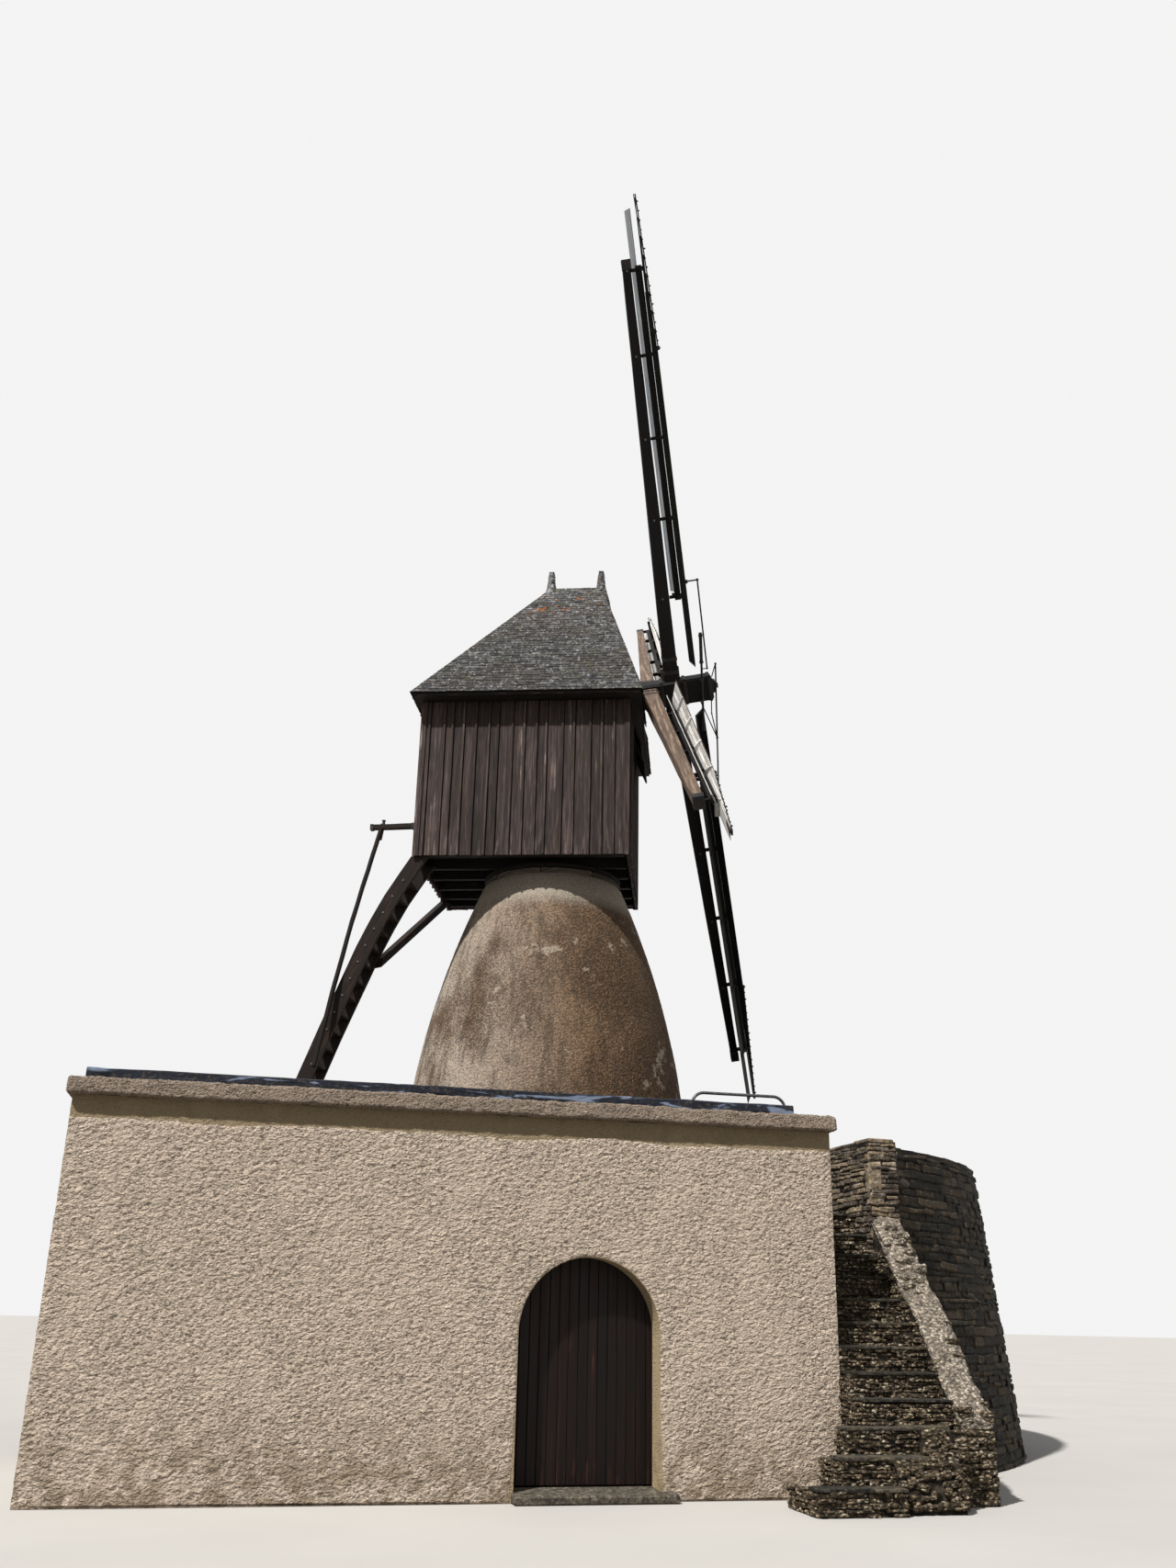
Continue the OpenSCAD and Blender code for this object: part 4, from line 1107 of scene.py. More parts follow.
        # tall pale quoins at the pier's left corner
        for low, high, wide in ((2.74, 0.13, 0.17), (2.89, 0.30, 0.15), (3.21, 0.10, 0.19)):
            at = moved(LANE + wide / 2 - 0.008, PIER_Y + 0.045, low + high / 2)
            piece.block((wide, 0.12, high), at, 0.014, 0.016, tone=0.95)
        piece.done("base", "quoin_stone", "rubble_masonry")


class WINDMILL_OT_mound(Maker):
    """Earth on the mound round the cone"""

    bl_idname = "windmill.mound"
    bl_label = "Mound top"

    def make(self):
        piece = Piece("mound_earth")
        part = bmesh.new()
        bmesh.ops.create_grid(part, x_segments=150, y_segments=150, size=5.44)

        def outside(spot):
            # past the round wall, in the front room, or in the stair's well
            room, well = spot.x < 1.55 and spot.y < -2.86, spot.x < 2.80 and spot.y < -4.1
            return spot.length > 5.42 or room or well

        gone = [f for f in part.faces if outside(f.calc_center_median().xy)]
        bmesh.ops.delete(part, geom=gone, context="FACES")
        for v in part.verts:
            v.co.z = TERRACE + 0.012 + 0.028 * (0.5 + lumps(v.co, 1.7)) + 0.008 * noise.noise(v.co * 11)
            if v.is_boundary:
                v.co.z = TERRACE + 0.004
        close_below(part, TERRACE - 0.05)
        piece.add(part)
        piece.done("base", "earth", "fill", smooth=True)


class WINDMILL_OT_cone(Maker):
    """Pebbly render of the cone"""

    bl_idname = "windmill.cone"
    bl_label = "Cone"

    def make(self):
        piece = Piece("cone_render")
        relief = sizes().pebble_relief
        rows = 124

        def radius(z):
            h = CONE_TOP - z
            return 1.07 + 0.436 * h - 0.0464 * h * h

        heights = [TERRACE + (CONE_TOP - TERRACE) * k / rows for k in range(rows + 1)]
        outer = [(radius(z), z) for z in heights]
        outer[-1] = (outer[-1][0] - 0.012, CONE_TOP)
        inner = [(0.67, CONE_TOP), (1.2, 5.6), (radius(TERRACE) - 0.4, TERRACE)]

        def form(co):
            out = math.hypot(co.x, co.y)
            if out < radius(co.z) - 0.05 or out < 0.9:
                return co
            lift = 0.45 * lumps(co, 17) + 0.3 * lumps(co, 48, 5) + 0.55 * lumps(co, 2.1, 3)
            fade = min(1.0, (CONE_TOP + 0.02 - co.z) * 12)
            far = 1 + relief * lift * fade / out
            return Vector((co.x * far, co.y * far, co.z))

        piece.turning(outer + inner, 380, form=form)
        piece.done("base", "cone_render", "cone_render", ["tower_cone"], smooth=True)


class WINDMILL_OT_cabin(Maker):
    """Boards and cover strips of the cabin walls, and the rear door"""

    bl_idname = "windmill.cabin"
    bl_label = "Cabin boards"

    def wall(self, name, node, corner, along, outward, wide, joints=None, gap=None):
        """One wall of upright boards with strips over their joints; gap is (from, to, low, high)."""
        piece = Piece(name, CABIN)
        dice = piece.dice
        at = upright((*corner, CAB_Z), along, outward)
        thick, strip = 0.034, sizes().strip_thick
        if joints is None:
            joints, x = [], 0.0
            while x < wide - 0.3:
                x += dice.uniform(0.125, 0.235)
                joints.append(x)
        high = CAB_TOP - CAB_Z
        whole = [(0.0, high)]
        split = [(0.0, gap[2]), (gap[3], high)] if gap else whole
        marks = [0.0, *joints, wide]
        for x0, x1 in zip(marks, marks[1:]):
            parts = whole
            if gap and x1 > gap[0] and x0 < gap[1]:
                if x0 < gap[0] - 0.02:
                    x1 = min(x1, gap[0])
                else:
                    parts = split
            warp = dice.uniform(-0.004, 0.004)
            open_joint = 0.017 if x0 > 0 and x1 - x0 > 0.06 else 0.0
            for low, top in parts:
                low += dice.uniform(-0.006, 0.004) if low == 0 else 0
                middle = (low + top) / 2
                size = (top - low, x1 - x0 - open_joint - 0.001, thick)
                mid = moved(middle, (x0 + open_joint + x1) / 2, 0.001 - thick / 2 + warp / 3)
                piece.block(size, at @ mid, bevel=0.002, cuts=5 if top - low > 1 else 0, rough=0.003)
                if open_joint:
                    # an inner batten closes the joint; its darkest tone is painted shade in the open joint
                    mid = moved(middle, x0 + 0.008, 0.005 - thick)
                    piece.block((top - low, 0.036, 0.008), at @ mid, tone=0.0)
        for x in joints:
            for low, top in split if gap and gap[0] - 0.05 < x < gap[1] + 0.05 else whole:
                low += dice.uniform(-0.012, 0.004) if low == 0 else 0
                size = (top - low, sizes().strip_width * dice.uniform(0.82, 1.15), strip)
                twist = turned(dice.uniform(-0.12, 0.12), "Z")
                mid = moved((low + top) / 2, x - size[1] / 2 + 0.002, strip / 2)
                piece.block(size, at @ mid @ twist, bevel=0.003, cuts=5 if top - low > 1 else 0, rough=0.002)
        piece.done("cabin", "cabin_boards", "cabin_boards", [node])

    def make(self):
        wide, wall_t = CAB_X1 - CAB_X0, 0.035
        shares = (0.044, 0.117, 0.157, 0.210, 0.270, 0.333, 0.377, 0.446, 0.504)
        shares += (0.563, 0.609, 0.687, 0.742, 0.819, 0.875, 0.933)
        near = [wide * s for s in shares]
        self.wall("near_boards", "cabin_near_wall", (CAB_X0, -CAB_Y), (1, 0, 0), (0, -1, 0), wide, near)
        self.wall("far_boards", "cabin_far_wall", (CAB_X0, CAB_Y), (1, 0, 0), (0, 1, 0), wide)
        # the end walls stand between the side walls
        foot, span = wall_t - CAB_Y, 2 * CAB_Y - 2 * wall_t
        gap = (-1.110 - foot, -0.310 - foot, 0.20, 2.00)
        self.wall("front_boards", "cabin_front_wall", (CAB_X1, foot), (0, 1, 0), (1, 0, 0), span)
        self.wall("rear_boards", "cabin_rear_wall", (CAB_X0, foot), (0, 1, 0), (-1, 0, 0), span, gap=gap)
        at = upright((CAB_X0 + 0.012, -1.104, CAB_Z + 0.206), (0, 1, 0), (-1, 0, 0))
        door = Piece("rear_door_boards", CABIN @ at)
        for k in range(5):
            door.block((1.786, 0.156, 0.03), moved(0.894, 0.079 + 0.1577 * k, -0.015), rough=0.002)
        for z in (0.25, 0.9, 1.55):
            door.block((0.11, 0.74, 0.024), moved(z, 0.394, -0.042))
        door.done("cabin", "cabin_boards", "cabin_boards", ["rear_door"])
        kit = Piece("rear_door_iron", CABIN @ at)
        for z in (0.25, 1.55):
            kit.block((0.045, 0.52, 0.007), moved(z, 0.29, 0.003), bevel=0.001)
            kit.rod((z - 0.04, 0.012, 0.008), (z + 0.04, 0.012, 0.008), 0.012, sides=12)
            for k in range(4):
                y = 0.09 + 0.13 * k
                kit.rod((z, y, 0.006), (z, y, 0.013), 0.009, sides=8)
        kit.rod((0.92, 0.70, 0.0), (0.92, 0.70, 0.05), 0.008)
        kit.rod((0.84, 0.70, 0.05), (1.00, 0.70, 0.05), 0.009)
        kit.done("cabin", "iron", "iron")
        corners = Piece("corner_boards", CABIN)
        size, mid = (CAB_TOP - CAB_Z + 0.02, 0.085, 0.026), moved((CAB_TOP + CAB_Z) / 2, 0, 0)
        for x in (CAB_X0, CAB_X1):
            for side in (-1, 1):
                spot = (x - math.copysign(0.03, x), side * (CAB_Y + 0.008), 0)
                at = upright(spot, (1, 0, 0), (0, side, 0))
                corners.block(size, at @ mid, bevel=0.003, cuts=5, rough=0.002)
        corners.done("cabin", "cabin_boards", "cabin_boards")


class WINDMILL_OT_underside(Maker):
    """Beams, floor boards and turning ring under the cabin, and its inner posts"""

    bl_idname = "windmill.underside"
    bl_label = "Cabin frame"

    def arc(self, piece, inner, outer, first, last, z, thick):
        """One curved timber of a ring, between two angles."""
        a0, a1 = math.radians(first), math.radians(last)
        marks = [a0 + (a1 - a0) * j / 6 for j in range(7)]
        outline = [(outer * math.cos(a), outer * math.sin(a)) for a in marks]
        outline += [(inner * math.cos(a), inner * math.sin(a)) for a in reversed(marks)]
        mid = (a0 + a1) / 2 + math.pi / 2
        piece.plate(outline, thick, moved(0, 0, z), grain=(math.cos(mid), math.sin(mid), 0))

    def make(self):
        inner, x0, x1 = CAB_Y - 0.06, CAB_X0 + 0.06, CAB_X1 - 0.06
        post, half_post, plate_z = 0.13, 0.065, CAB_TOP - 0.072
        timbers = Piece("cabin_timbers", CABIN)
        for y in (-1.335, -0.715, -0.185, 0.355, 0.885, 1.335):
            w = 0.11 if abs(y) > 1 else 0.09
            timbers.beam((x0, y, 7.93), (x1, y, 7.93), w, 0.14, bevel=0.008, cuts=6, rough=0.006)
        ends, sides = (x0 + half_post, x1 - half_post), (half_post - inner, inner - half_post)
        for x in ends:
            for y in sides:
                timbers.beam((x, y, 8.04), (x, y, CAB_TOP), post, post, (1, 0, 0), bevel=0.008)
        for y in sides:
            timbers.beam((x0, y, plate_z), (x1, y, plate_z), post, 0.138, bevel=0.006)
        for x in ends:
            timbers.beam((x, post - inner, plate_z), (x, inner - post, plate_z), post, 0.138, bevel=0.006)
        # turning ring of eight curved timbers
        for k in range(8):
            self.arc(timbers, 0.73, 1.06, 45 * k + 0.4, 45 * k + 44.6, 7.805, 0.055)
        timbers.done("cabin", "dark_timber", "dark_timber", ["cabin_frame"])
        floor = Piece("floor_boards", CABIN)
        for x, w in strips(floor.dice, x0, x1, (0.16, 0.24), 0.12, 0.05):
            a, b = (x + w / 2, -inner, 8.02), (x + w / 2, inner, 8.02)
            floor.beam(a, b, w - 0.004, 0.038, bevel=0.002, cuts=4, rough=0.003)
        floor.done("cabin", "dark_timber", "dark_timber", ["cabin_floor"])
        eaves = Piece("eaves_soffit", CABIN)
        z, rim_z = CAB_TOP + 0.015, CAB_TOP + 0.019
        front, back = ROOF_X1 - 0.012, ROOF_X0 + 0.012
        for side in (-1, 1):
            for k in range(3):
                y = side * (ROOF_Y - 0.087 - 0.15 * k)
                eaves.beam((back, y, z), (front, y, z), 0.147, 0.028, bevel=0.002, cuts=8, rough=0.004)
        for a, b in ((back, CAB_X0 + 0.19), (CAB_X1 - 0.19, front)):
            for k in range(2):
                w = (b - a) / 2
                x = a + w * (k + 0.5)
                eaves.beam((x, -1.278, z), (x, 1.278, z), w - 0.004, 0.028, bevel=0.002)
        eaves.done("cabin", "dark_timber", "dark_timber", ["eaves_boards"])
        trim = Piece("eaves_trim", CABIN)
        for y in (0.008 - ROOF_Y, ROOF_Y - 0.008):
            trim.beam((ROOF_X0, y, rim_z), (ROOF_X1, y, rim_z), 0.02, 0.05, bevel=0.003, cuts=10, rough=0.003)
        for x in (ROOF_X0 + 0.008, ROOF_X1 - 0.008):
            trim.beam((x, -ROOF_Y, rim_z), (x, ROOF_Y, rim_z), 0.02, 0.05, bevel=0.003)
        trim.done("cabin", "dark_timber", "dark_timber")
        ring = Piece("curb_timbers")
        for k in range(8):
            self.arc(ring, 0.69, 1.04, 45 * k + 22.9, 45 * k + 67.1, CONE_TOP, 0.094)
        ring.done("base", "ring_timber", "dark_timber", ["curb_ring"])


class WINDMILL_OT_slates(Maker):
    """Slates of the four roof slopes, course by course, and the ridge with its two spikes"""

    bl_idname = "windmill.slates"
    bl_label = "Slates"

    def slope(self, name, origin, along, wide, rise, left, right, gap=None):
        """Slates over one slope; left and right are how far its ends draw in at the ridge."""
        piece = Piece(name, CABIN)
        dice = piece.dice
        gauge, mean, thick = sizes().slate_gauge, sizes().slate_width, sizes().slate_thick
        long = math.hypot(*rise)
        x, y = Vector(along), Vector(rise) / long
        part = bmesh.new()
        tone_of = part.faces.layers.float.new("tone")
        for row in range(math.ceil((long + 0.02) / gauge)):
            u = row * gauge - 0.03
            share = min(1.0, max(0.0, u / long))
            a, b = left * share - 0.12, wide - right * share + 0.12
            s = a - dice.uniform(0, mean)
            while s < b:
                w = mean * dice.uniform(0.62, 1.3)
                mid = s + w / 2
                s += w
                if gap and abs(mid - wide / 2) < gap[0] and u < gap[1]:
                    continue
                size = (w - 0.003, gauge * 2.7, thick * dice.uniform(0.8, 1.7))
                tilt = turned(-4.2 + dice.uniform(-0.5, 0.5), "X")
                up = u + gauge * 1.35 + dice.uniform(-0.005, 0.005)
                at = moved(mid, up, 0.012 + dice.uniform(0, 0.003)) @ tilt
                at = at @ turned(dice.uniform(-0.9, 0.9), "Z") @ Matrix.Diagonal((*size, 1))
                verts = bmesh.ops.create_cube(part, size=1.0, matrix=at)["verts"]
                tone = min(1.0, max(0.0, dice.gauss(0.5, 0.2)))
                tail = [v for v in verts if v.co.y < u + gauge]
                for v in tail:
                    v.co.y += dice.uniform(-0.006, 0.006)
                # painted shade: the butt faces take tone 0, the darkest slate, as the shade under each course
                for face in {f for v in verts for f in v.link_faces}:
                    face[tone_of] = 0.0 if all(v in tail for v in face.verts) else tone
        # cut a finger beyond the hips, so that the slopes lap, and at the ridge
        cuts = [(Vector((0, long + 0.012, 0)), Vector((0, -1, 0)))]
        for base, draw, sign in ((Vector((0, 0, 0)), left, 1), (Vector((wide, 0, 0)), -right, -1)):
            hip = Vector((draw, long, 0)).normalized()
            normal = Vector((hip.y, -hip.x, 0)) * sign
            cuts.append((base - normal * 0.012, normal))
        for point, normal in cuts:
            bmesh.ops.bisect_plane(
                part, geom=part.verts[:] + part.edges[:] + part.faces[:], dist=1e-6,
                plane_co=point, plane_no=normal, clear_inner=True,
            )
            bmesh.ops.holes_fill(part, edges=[e for e in part.edges if e.is_boundary], sides=0)
        bmesh.ops.recalc_face_normals(part, faces=part.faces)
        piece.take(part, axes(x, y, x.cross(y), origin))
        piece.done("cabin", "slates", "slate_roof")

    def make(self):
        up = RIDGE - EAVE
        long, wide = ROOF_X1 - ROOF_X0, 2 * ROOF_Y
        back, front = RIDGE_X0 - ROOF_X0, ROOF_X1 - RIDGE_X1
        self.slope("near_slates", (ROOF_X0, -ROOF_Y, EAVE), (1, 0, 0), long, (0, ROOF_Y, up), back, front)
        self.slope("far_slates", (ROOF_X1, ROOF_Y, EAVE), (-1, 0, 0), long, (0, -ROOF_Y, up), front, back)
        self.slope("rear_slates", (ROOF_X0, ROOF_Y, EAVE), (0, -1, 0), wide, (back, 0, up), ROOF_Y, ROOF_Y)
        # opening for the shaft: half its width, and its height along the slope
        gap = (0.33, (11.39 - EAVE) / up * math.hypot(front, up) - 0.06)
        rise = (-front, 0, up)
        self.slope("front_slates", (ROOF_X1, -ROOF_Y, EAVE), (0, 1, 0), wide, rise, ROOF_Y, ROOF_Y, gap)
        self.ridge()

    def ridge(self):
        piece = Piece("ridge_slates", CABIN)
        dice = piece.dice
        span = (RIDGE_X1 - RIDGE_X0 - 0.10) / 3
        for k in range(3):
            x = RIDGE_X0 + 0.05 + span * (k + 0.5)
            for side in (-1, 1):
                lean = axes((1, 0, 0), (0, 0.54 * side, -0.84), (0, 0.84 * side, 0.54))
                at, tone = moved(x, side * 0.050, RIDGE - 0.062) @ lean, dice.uniform(0.6, 0.75)
                piece.block((span - 0.008, 0.15, 0.012), at, bevel=0.003, rough=0.003, tone=tone)
            half, z = span / 2 - 0.006, RIDGE + 0.004
            piece.rod((x - half, 0, z), (x + half, 0, z), 0.013, tone=0.95)
        # spikes hung with small slates, spreading into the hips at their feet
        for x, flare in (
            (RIDGE_X0, ((12.80, 0.15), (12.92, 0.115), (13.02, 0.078), (13.12, 0.060))),
            (RIDGE_X1, ((12.66, 0.155), (12.80, 0.135), (12.92, 0.105), (13.04, 0.074), (13.14, 0.058))),
        ):
            marks = flare + ((13.40, 0.040),)
            z = marks[0][0]
            while z < 13.345:
                r = between(marks, z)
                falls = ((p - q) / (b - a) for (a, p), (b, q) in zip(marks, marks[1:]) if z <= b)
                lean = turned(-math.degrees(math.atan(next(falls))) - 5, "Y")
                count = 8 if r > 0.09 else 6
                size = (0.012, 2 * r * math.tan(math.pi / count) * 1.06, 0.088)
                first = dice.uniform(0, 60)
                for k in range(count):
                    at = moved(x, 0, z) @ turned(first + 360 / count * k, "Z") @ moved(r, 0, 0.03) @ lean
                    piece.block(size, at, bevel=0.003, rough=0.003, tone=dice.uniform(0.7, 1.0))
                z += 0.058
            piece.rod((x, 0, 12.9), (x, 0, 13.38), 0.040, sides=8, radius2=0.032, tone=0.3)
            piece.block((0.086, 0.086, 0.016), moved(x, 0, 13.402), bevel=0.004, rough=0.003, tone=0.8)
        piece.done("cabin", "slates", "slate_roof", ["ridge_and_finials"])


class WINDMILL_OT_apron(Maker):
    """Two tiers of sloping boards before the front wall"""

    bl_idname = "windmill.apron"
    bl_label = "Front apron"

    def make(self):
        piece = Piece("apron_boards", CABIN)
        dice = piece.dice
        tiers = (((1.28, 10.315), (1.40, 9.99), 0.45), ((1.285, 10.07), (1.45, 9.675), 0.43))
        for (xa, za), (xb, zb), half in tiers:
            for y, w in strips(dice, -half, half, (0.13, 0.19), 0.1, 0.03):
                mid = y + w / 2
                low = zb + dice.uniform(-0.012, 0.012)
                a, b = (xa, mid, za), (xb, mid, low)
                piece.beam(a, b, w - 0.004, 0.024, (1, 0, 0.4), bevel=0.003, rough=0.003)
            x, end, z = xa + 0.02, half - 0.02, za - 0.06
            piece.beam((x, -end, z), (x, end, z), 0.05, 0.05)
        piece.done("cabin", "dark_timber", "dark_timber", ["front_apron"])
        mouth = Piece("shaft_opening_frame", CABIN)
        for y in (-0.345, 0.345):
            mouth.beam((1.452, y, 10.42), (1.165, y, 11.41), 0.045, 0.06, (1, 0, 0.3), bevel=0.004)
        mouth.beam((1.165, -0.36, 11.41), (1.165, 0.36, 11.41), 0.06, 0.05, bevel=0.004)
        mouth.done("cabin", "dark_timber", "dark_timber")


class WINDMILL_OT_tail(Maker):
    """Tail ladder with its brace, brake lever and pole"""

    bl_idname = "windmill.tail"
    bl_label = "Tail ladder"

    def edge(self, depth):
        """Place of the sides' upper edge at a depth under the cabin floor."""
        return CAB_X0 - between(TAIL, depth)

    def deep(self, depth):
        """How deep the sides are there."""
        return 0.258 - 0.012 * depth

    def make(self):
        long = TAIL[-1][0]
        just_under = CAB_Z - 0.0004
        slant = (-0.42, 0, -0.907)
        coat = ("cabin", "ladder_timber", "tan_timber")

        def side(co):
            depth = (co.x / long + 0.5) * long
            wave = 0.006 * noise.noise(Vector((depth * 1.3, co.y * 20, 3)))
            x = self.edge(depth) + (0.5 - co.z) * self.deep(depth) + wave
            return Vector((x, co.y, just_under - depth))

        piece = Piece("ladder_sides", CABIN)
        for y in (-1.40, -0.90):
            piece.block((long, 0.06, 1.0), moved(0, y, 0), 0.0, cuts=42, form=side, across=1, grain=slant)
        piece.done(*coat, ["tail_frame"])
        brace = Piece("ladder_brace", CABIN)
        start, end = Vector((-2.50, -0.96, 6.295)), Vector((-1.849, 1.141, 7.937))
        at = aimed(start, end)
        way = (end - start).normalized()

        def cut(co):
            # trimmed against the ladder's side below and the cabin floor above
            spot = at @ co
            over, short = max(0.0, spot.z - just_under), max(0.0, -0.869 - spot.y)
            return co + Vector((short / way.y - over / way.z, 0, 0))

        brace.block(((end - start).length, 0.11, 0.11), at, 0.008, cuts=8, form=cut)
        brace.done(*coat)
        treads = Piece("ladder_treads", CABIN)
        bolts = Piece("tread_bolts", CABIN)

        def worn(co):
            # worn hollow in the middle of each tread
            return co - Vector((0, 0, 0.010 * math.exp(-((co.x / 0.14) ** 2)) if co.z > 0 else 0.0))

        for depth in RUNGS:
            deep, x, z = self.deep(depth) - 0.044, self.edge(depth), CAB_Z - depth
            at = moved(x + 0.028 + deep / 2, -1.15, z) @ turned(90, "Z")
            treads.block((0.4396, deep, 0.034), at, bevel=0.005, cuts=8, rough=0.004, form=worn)
            for y0, y1 in ((-1.429, -1.441), (-0.871, -0.861)):
                bolts.rod((x + 0.13, y0, z), (x + 0.13, y1, z), 0.016, sides=6)
        treads.done(*coat, ["tail_treads"])
        brake = Piece("brake_timbers", CABIN)
        brake.beam((-2.66, -1.25, 8.366), (-1.93, -1.25, 8.386), 0.08, 0.08, bevel=0.010, cuts=6, rough=0.005)
        top, foot = Vector((-2.49, -1.262, 8.34)), Vector((-3.10, -1.62, 4.703))
        reach = (top - foot).length

        def bow(co):
            # a pole that has bent under its own weight
            return co + Vector((0, 0, 0.042 * math.cos(math.pi * co.x / reach)))

        brake.block((reach, 0.06, 0.06), aimed(foot, top, (-1, 0, 0)), 0.014, 0.006, 26, form=bow)
        brake.done(*coat, ["brake_lever", "brake_pole"])
        kit = Piece("tail_iron", CABIN)
        x, y, z = -2.46, -1.25, 8.482
        kit.rod((x, y, 8.40), (x, y, z), 0.021, sides=14)
        kit.rod((x, y, 8.470), (x, y, z), 0.030, sides=14)
        kit.beam((-2.50, -1.27, 8.16), (-2.47, y, 8.43), 0.07, 0.012, (0, 1, 0), bevel=0.002)
        for x in (-2.00, -2.63):
            kit.block((0.05, 0.09, 0.09), moved(x, y, 8.366 + (x + 2.66) * 0.027), bevel=0.003)
        kit.done("cabin", "iron", "iron")
        bolts.done("cabin", "tube", "iron")


class WINDMILL_OT_shaft(Maker):
    """Windshaft with its square head, hoops and wedges"""

    bl_idname = "windmill.shaft"
    bl_label = "Windshaft"

    def make(self):
        shaft = Piece("shaft_timber", SAILS)
        axle = turned(90, "Y")
        neck = [(0.0, -2.75), (0.23, -2.75), (0.23, -0.62), (0.245, -0.56), (0.0, -0.56)]
        shaft.turning(neck, 28, axle, closed=False)
        head = turned(PHI, "X")
        shaft.block((1.21, 0.40, 0.40), head @ moved(0.045, 0, 0), bevel=0.035, cuts=10, rough=0.005)
        shaft.done("sails", "stock_dark", "dark_timber", ["windshaft"])
        kit = Piece("shaft_iron", SAILS)
        for s in (-0.95, -0.78, -0.64):
            hoop = [(0.228, s - 0.03), (0.243, s - 0.03), (0.243, s + 0.03), (0.228, s + 0.03)]
            kit.turning(hoop, 28, axle)
        # three hoops round the square head, with bolts
        hoops, sides = (-0.18, 0.20, 0.60), [head @ turned(90 * a, "X") for a in range(4)]
        for s in hoops:
            for at in sides:
                kit.block((0.055, 0.36, 0.012), at @ moved(s, 0, 0.202), bevel=0.002)
        for at in sides:
            for s in hoops:
                for y in (0.12, -0.12):
                    kit.rod((s, y, 0.205), (s, y, 0.222), 0.016, at, 6)
        kit.rod((0.65, 0, 0), (0.70, 0, 0), 0.11, head, 24)
        kit.rod((0.70, 0, 0), (0.745, 0, 0), 0.045, head, 6)
        kit.done("sails", "iron", "iron")
        wedges = Piece("stock_wedges")
        for i in (0, 1):
            for end in (-1, 1):
                for z in (-0.128, 0.128):
                    a, b = (end * 0.18, 0.05, z), (end * 0.40, 0.05, z * 1.04)
                    wedges.beam(a, b, 0.09, 0.035, place=wing(i), bevel=0.004)
        wedges.done("sails", "stock_tan", "tan_timber")


class WINDMILL_OT_stocks(Maker):
    """The two long tapered stocks with their straps and bolts"""

    bl_idname = "windmill.stocks"
    bl_label = "Stocks"

    def taper(self, r):
        """Breadth, depth and lift of a stock at a distance from the hub."""
        t = max(0.0, (abs(r) - TAPER_FROM) / (STOCK_R - TAPER_FROM))
        return 0.28 * (1 - 0.4643 * t), 0.236 * (1 - 0.4661 * t), STOCK_R * math.sin(BEND) * t

    def make(self):
        def form(co):
            wide, deep, lift = self.taper(co.x)
            wave = 0.006 * noise.noise(Vector((co.x * 0.9, co.y * 9, co.z * 9)))
            return Vector((co.x, co.y * wide / 0.28 + wave, co.z * deep / 0.236 + lift + wave))

        kit, bolts = Piece("stock_iron"), Piece("stock_bolts")
        stocks = (
            ("outer_stock_timber", "stock_dark", "dark_timber", "stock_outer"),
            ("inner_stock_timber", "stock_tan", "tan_timber", "stock_inner"),
        )
        for i, (name, coat, slot, node) in enumerate(stocks):
            piece = Piece(name)
            at = wing(i)
            piece.block((2 * STOCK_R, 0.28, 0.236), at, bevel=0.014, cuts=60, form=form)
            piece.done("sails", coat, slot, [node])
            for end in (-1, 1):
                for r, long in ((0.34, 0.06), (0.56, 0.06), (6.645, 0.15)):
                    wide, deep, _ = self.taper(r)
                    spot = moved(*form(Vector((end * r, 0, 0))))
                    kit.block((long, wide + 0.014, deep + 0.014), at @ spot, bevel=0.003)
                # only the outer stock shows its bolts
                for r in () if i else ARMS:
                    x, mid, z = form(Vector((end * r, 0, 0)))
                    for side in (-1, 1):
                        y = mid + side * self.taper(r)[0] / 2
                        bolts.rod((x, y, z), (x, y + side * 0.009, z), 0.018, at, 6)
        kit.done("sails", "iron", "iron")
        bolts.done("sails", "tube", "iron")


def plank_start(j):
    """How far from the hub a plank starts."""
    return 0.485 - 0.017 * j


def plank_end(j):
    """How far a plank reaches from the hub."""
    return 6.20 if j == 0 else 7.54 - 0.267 * (j - 1)


def plank_lean(j):
    """Angle between a plank and its wing."""
    return math.radians(0.6 + 0.2 * j)


def plank_left(j, r):
    """Left edge of a plank at a distance from the hub."""
    return 0.03 * j - (r - plank_start(j)) * math.tan(plank_lean(j))


def tip_bar(j):
    """Middle of the tip bar over the end of a plank."""
    end = plank_end(j)
    return Vector((end + 0.022, plank_left(j, end) + 0.1056, PLANK_STEP * j + 0.0163))


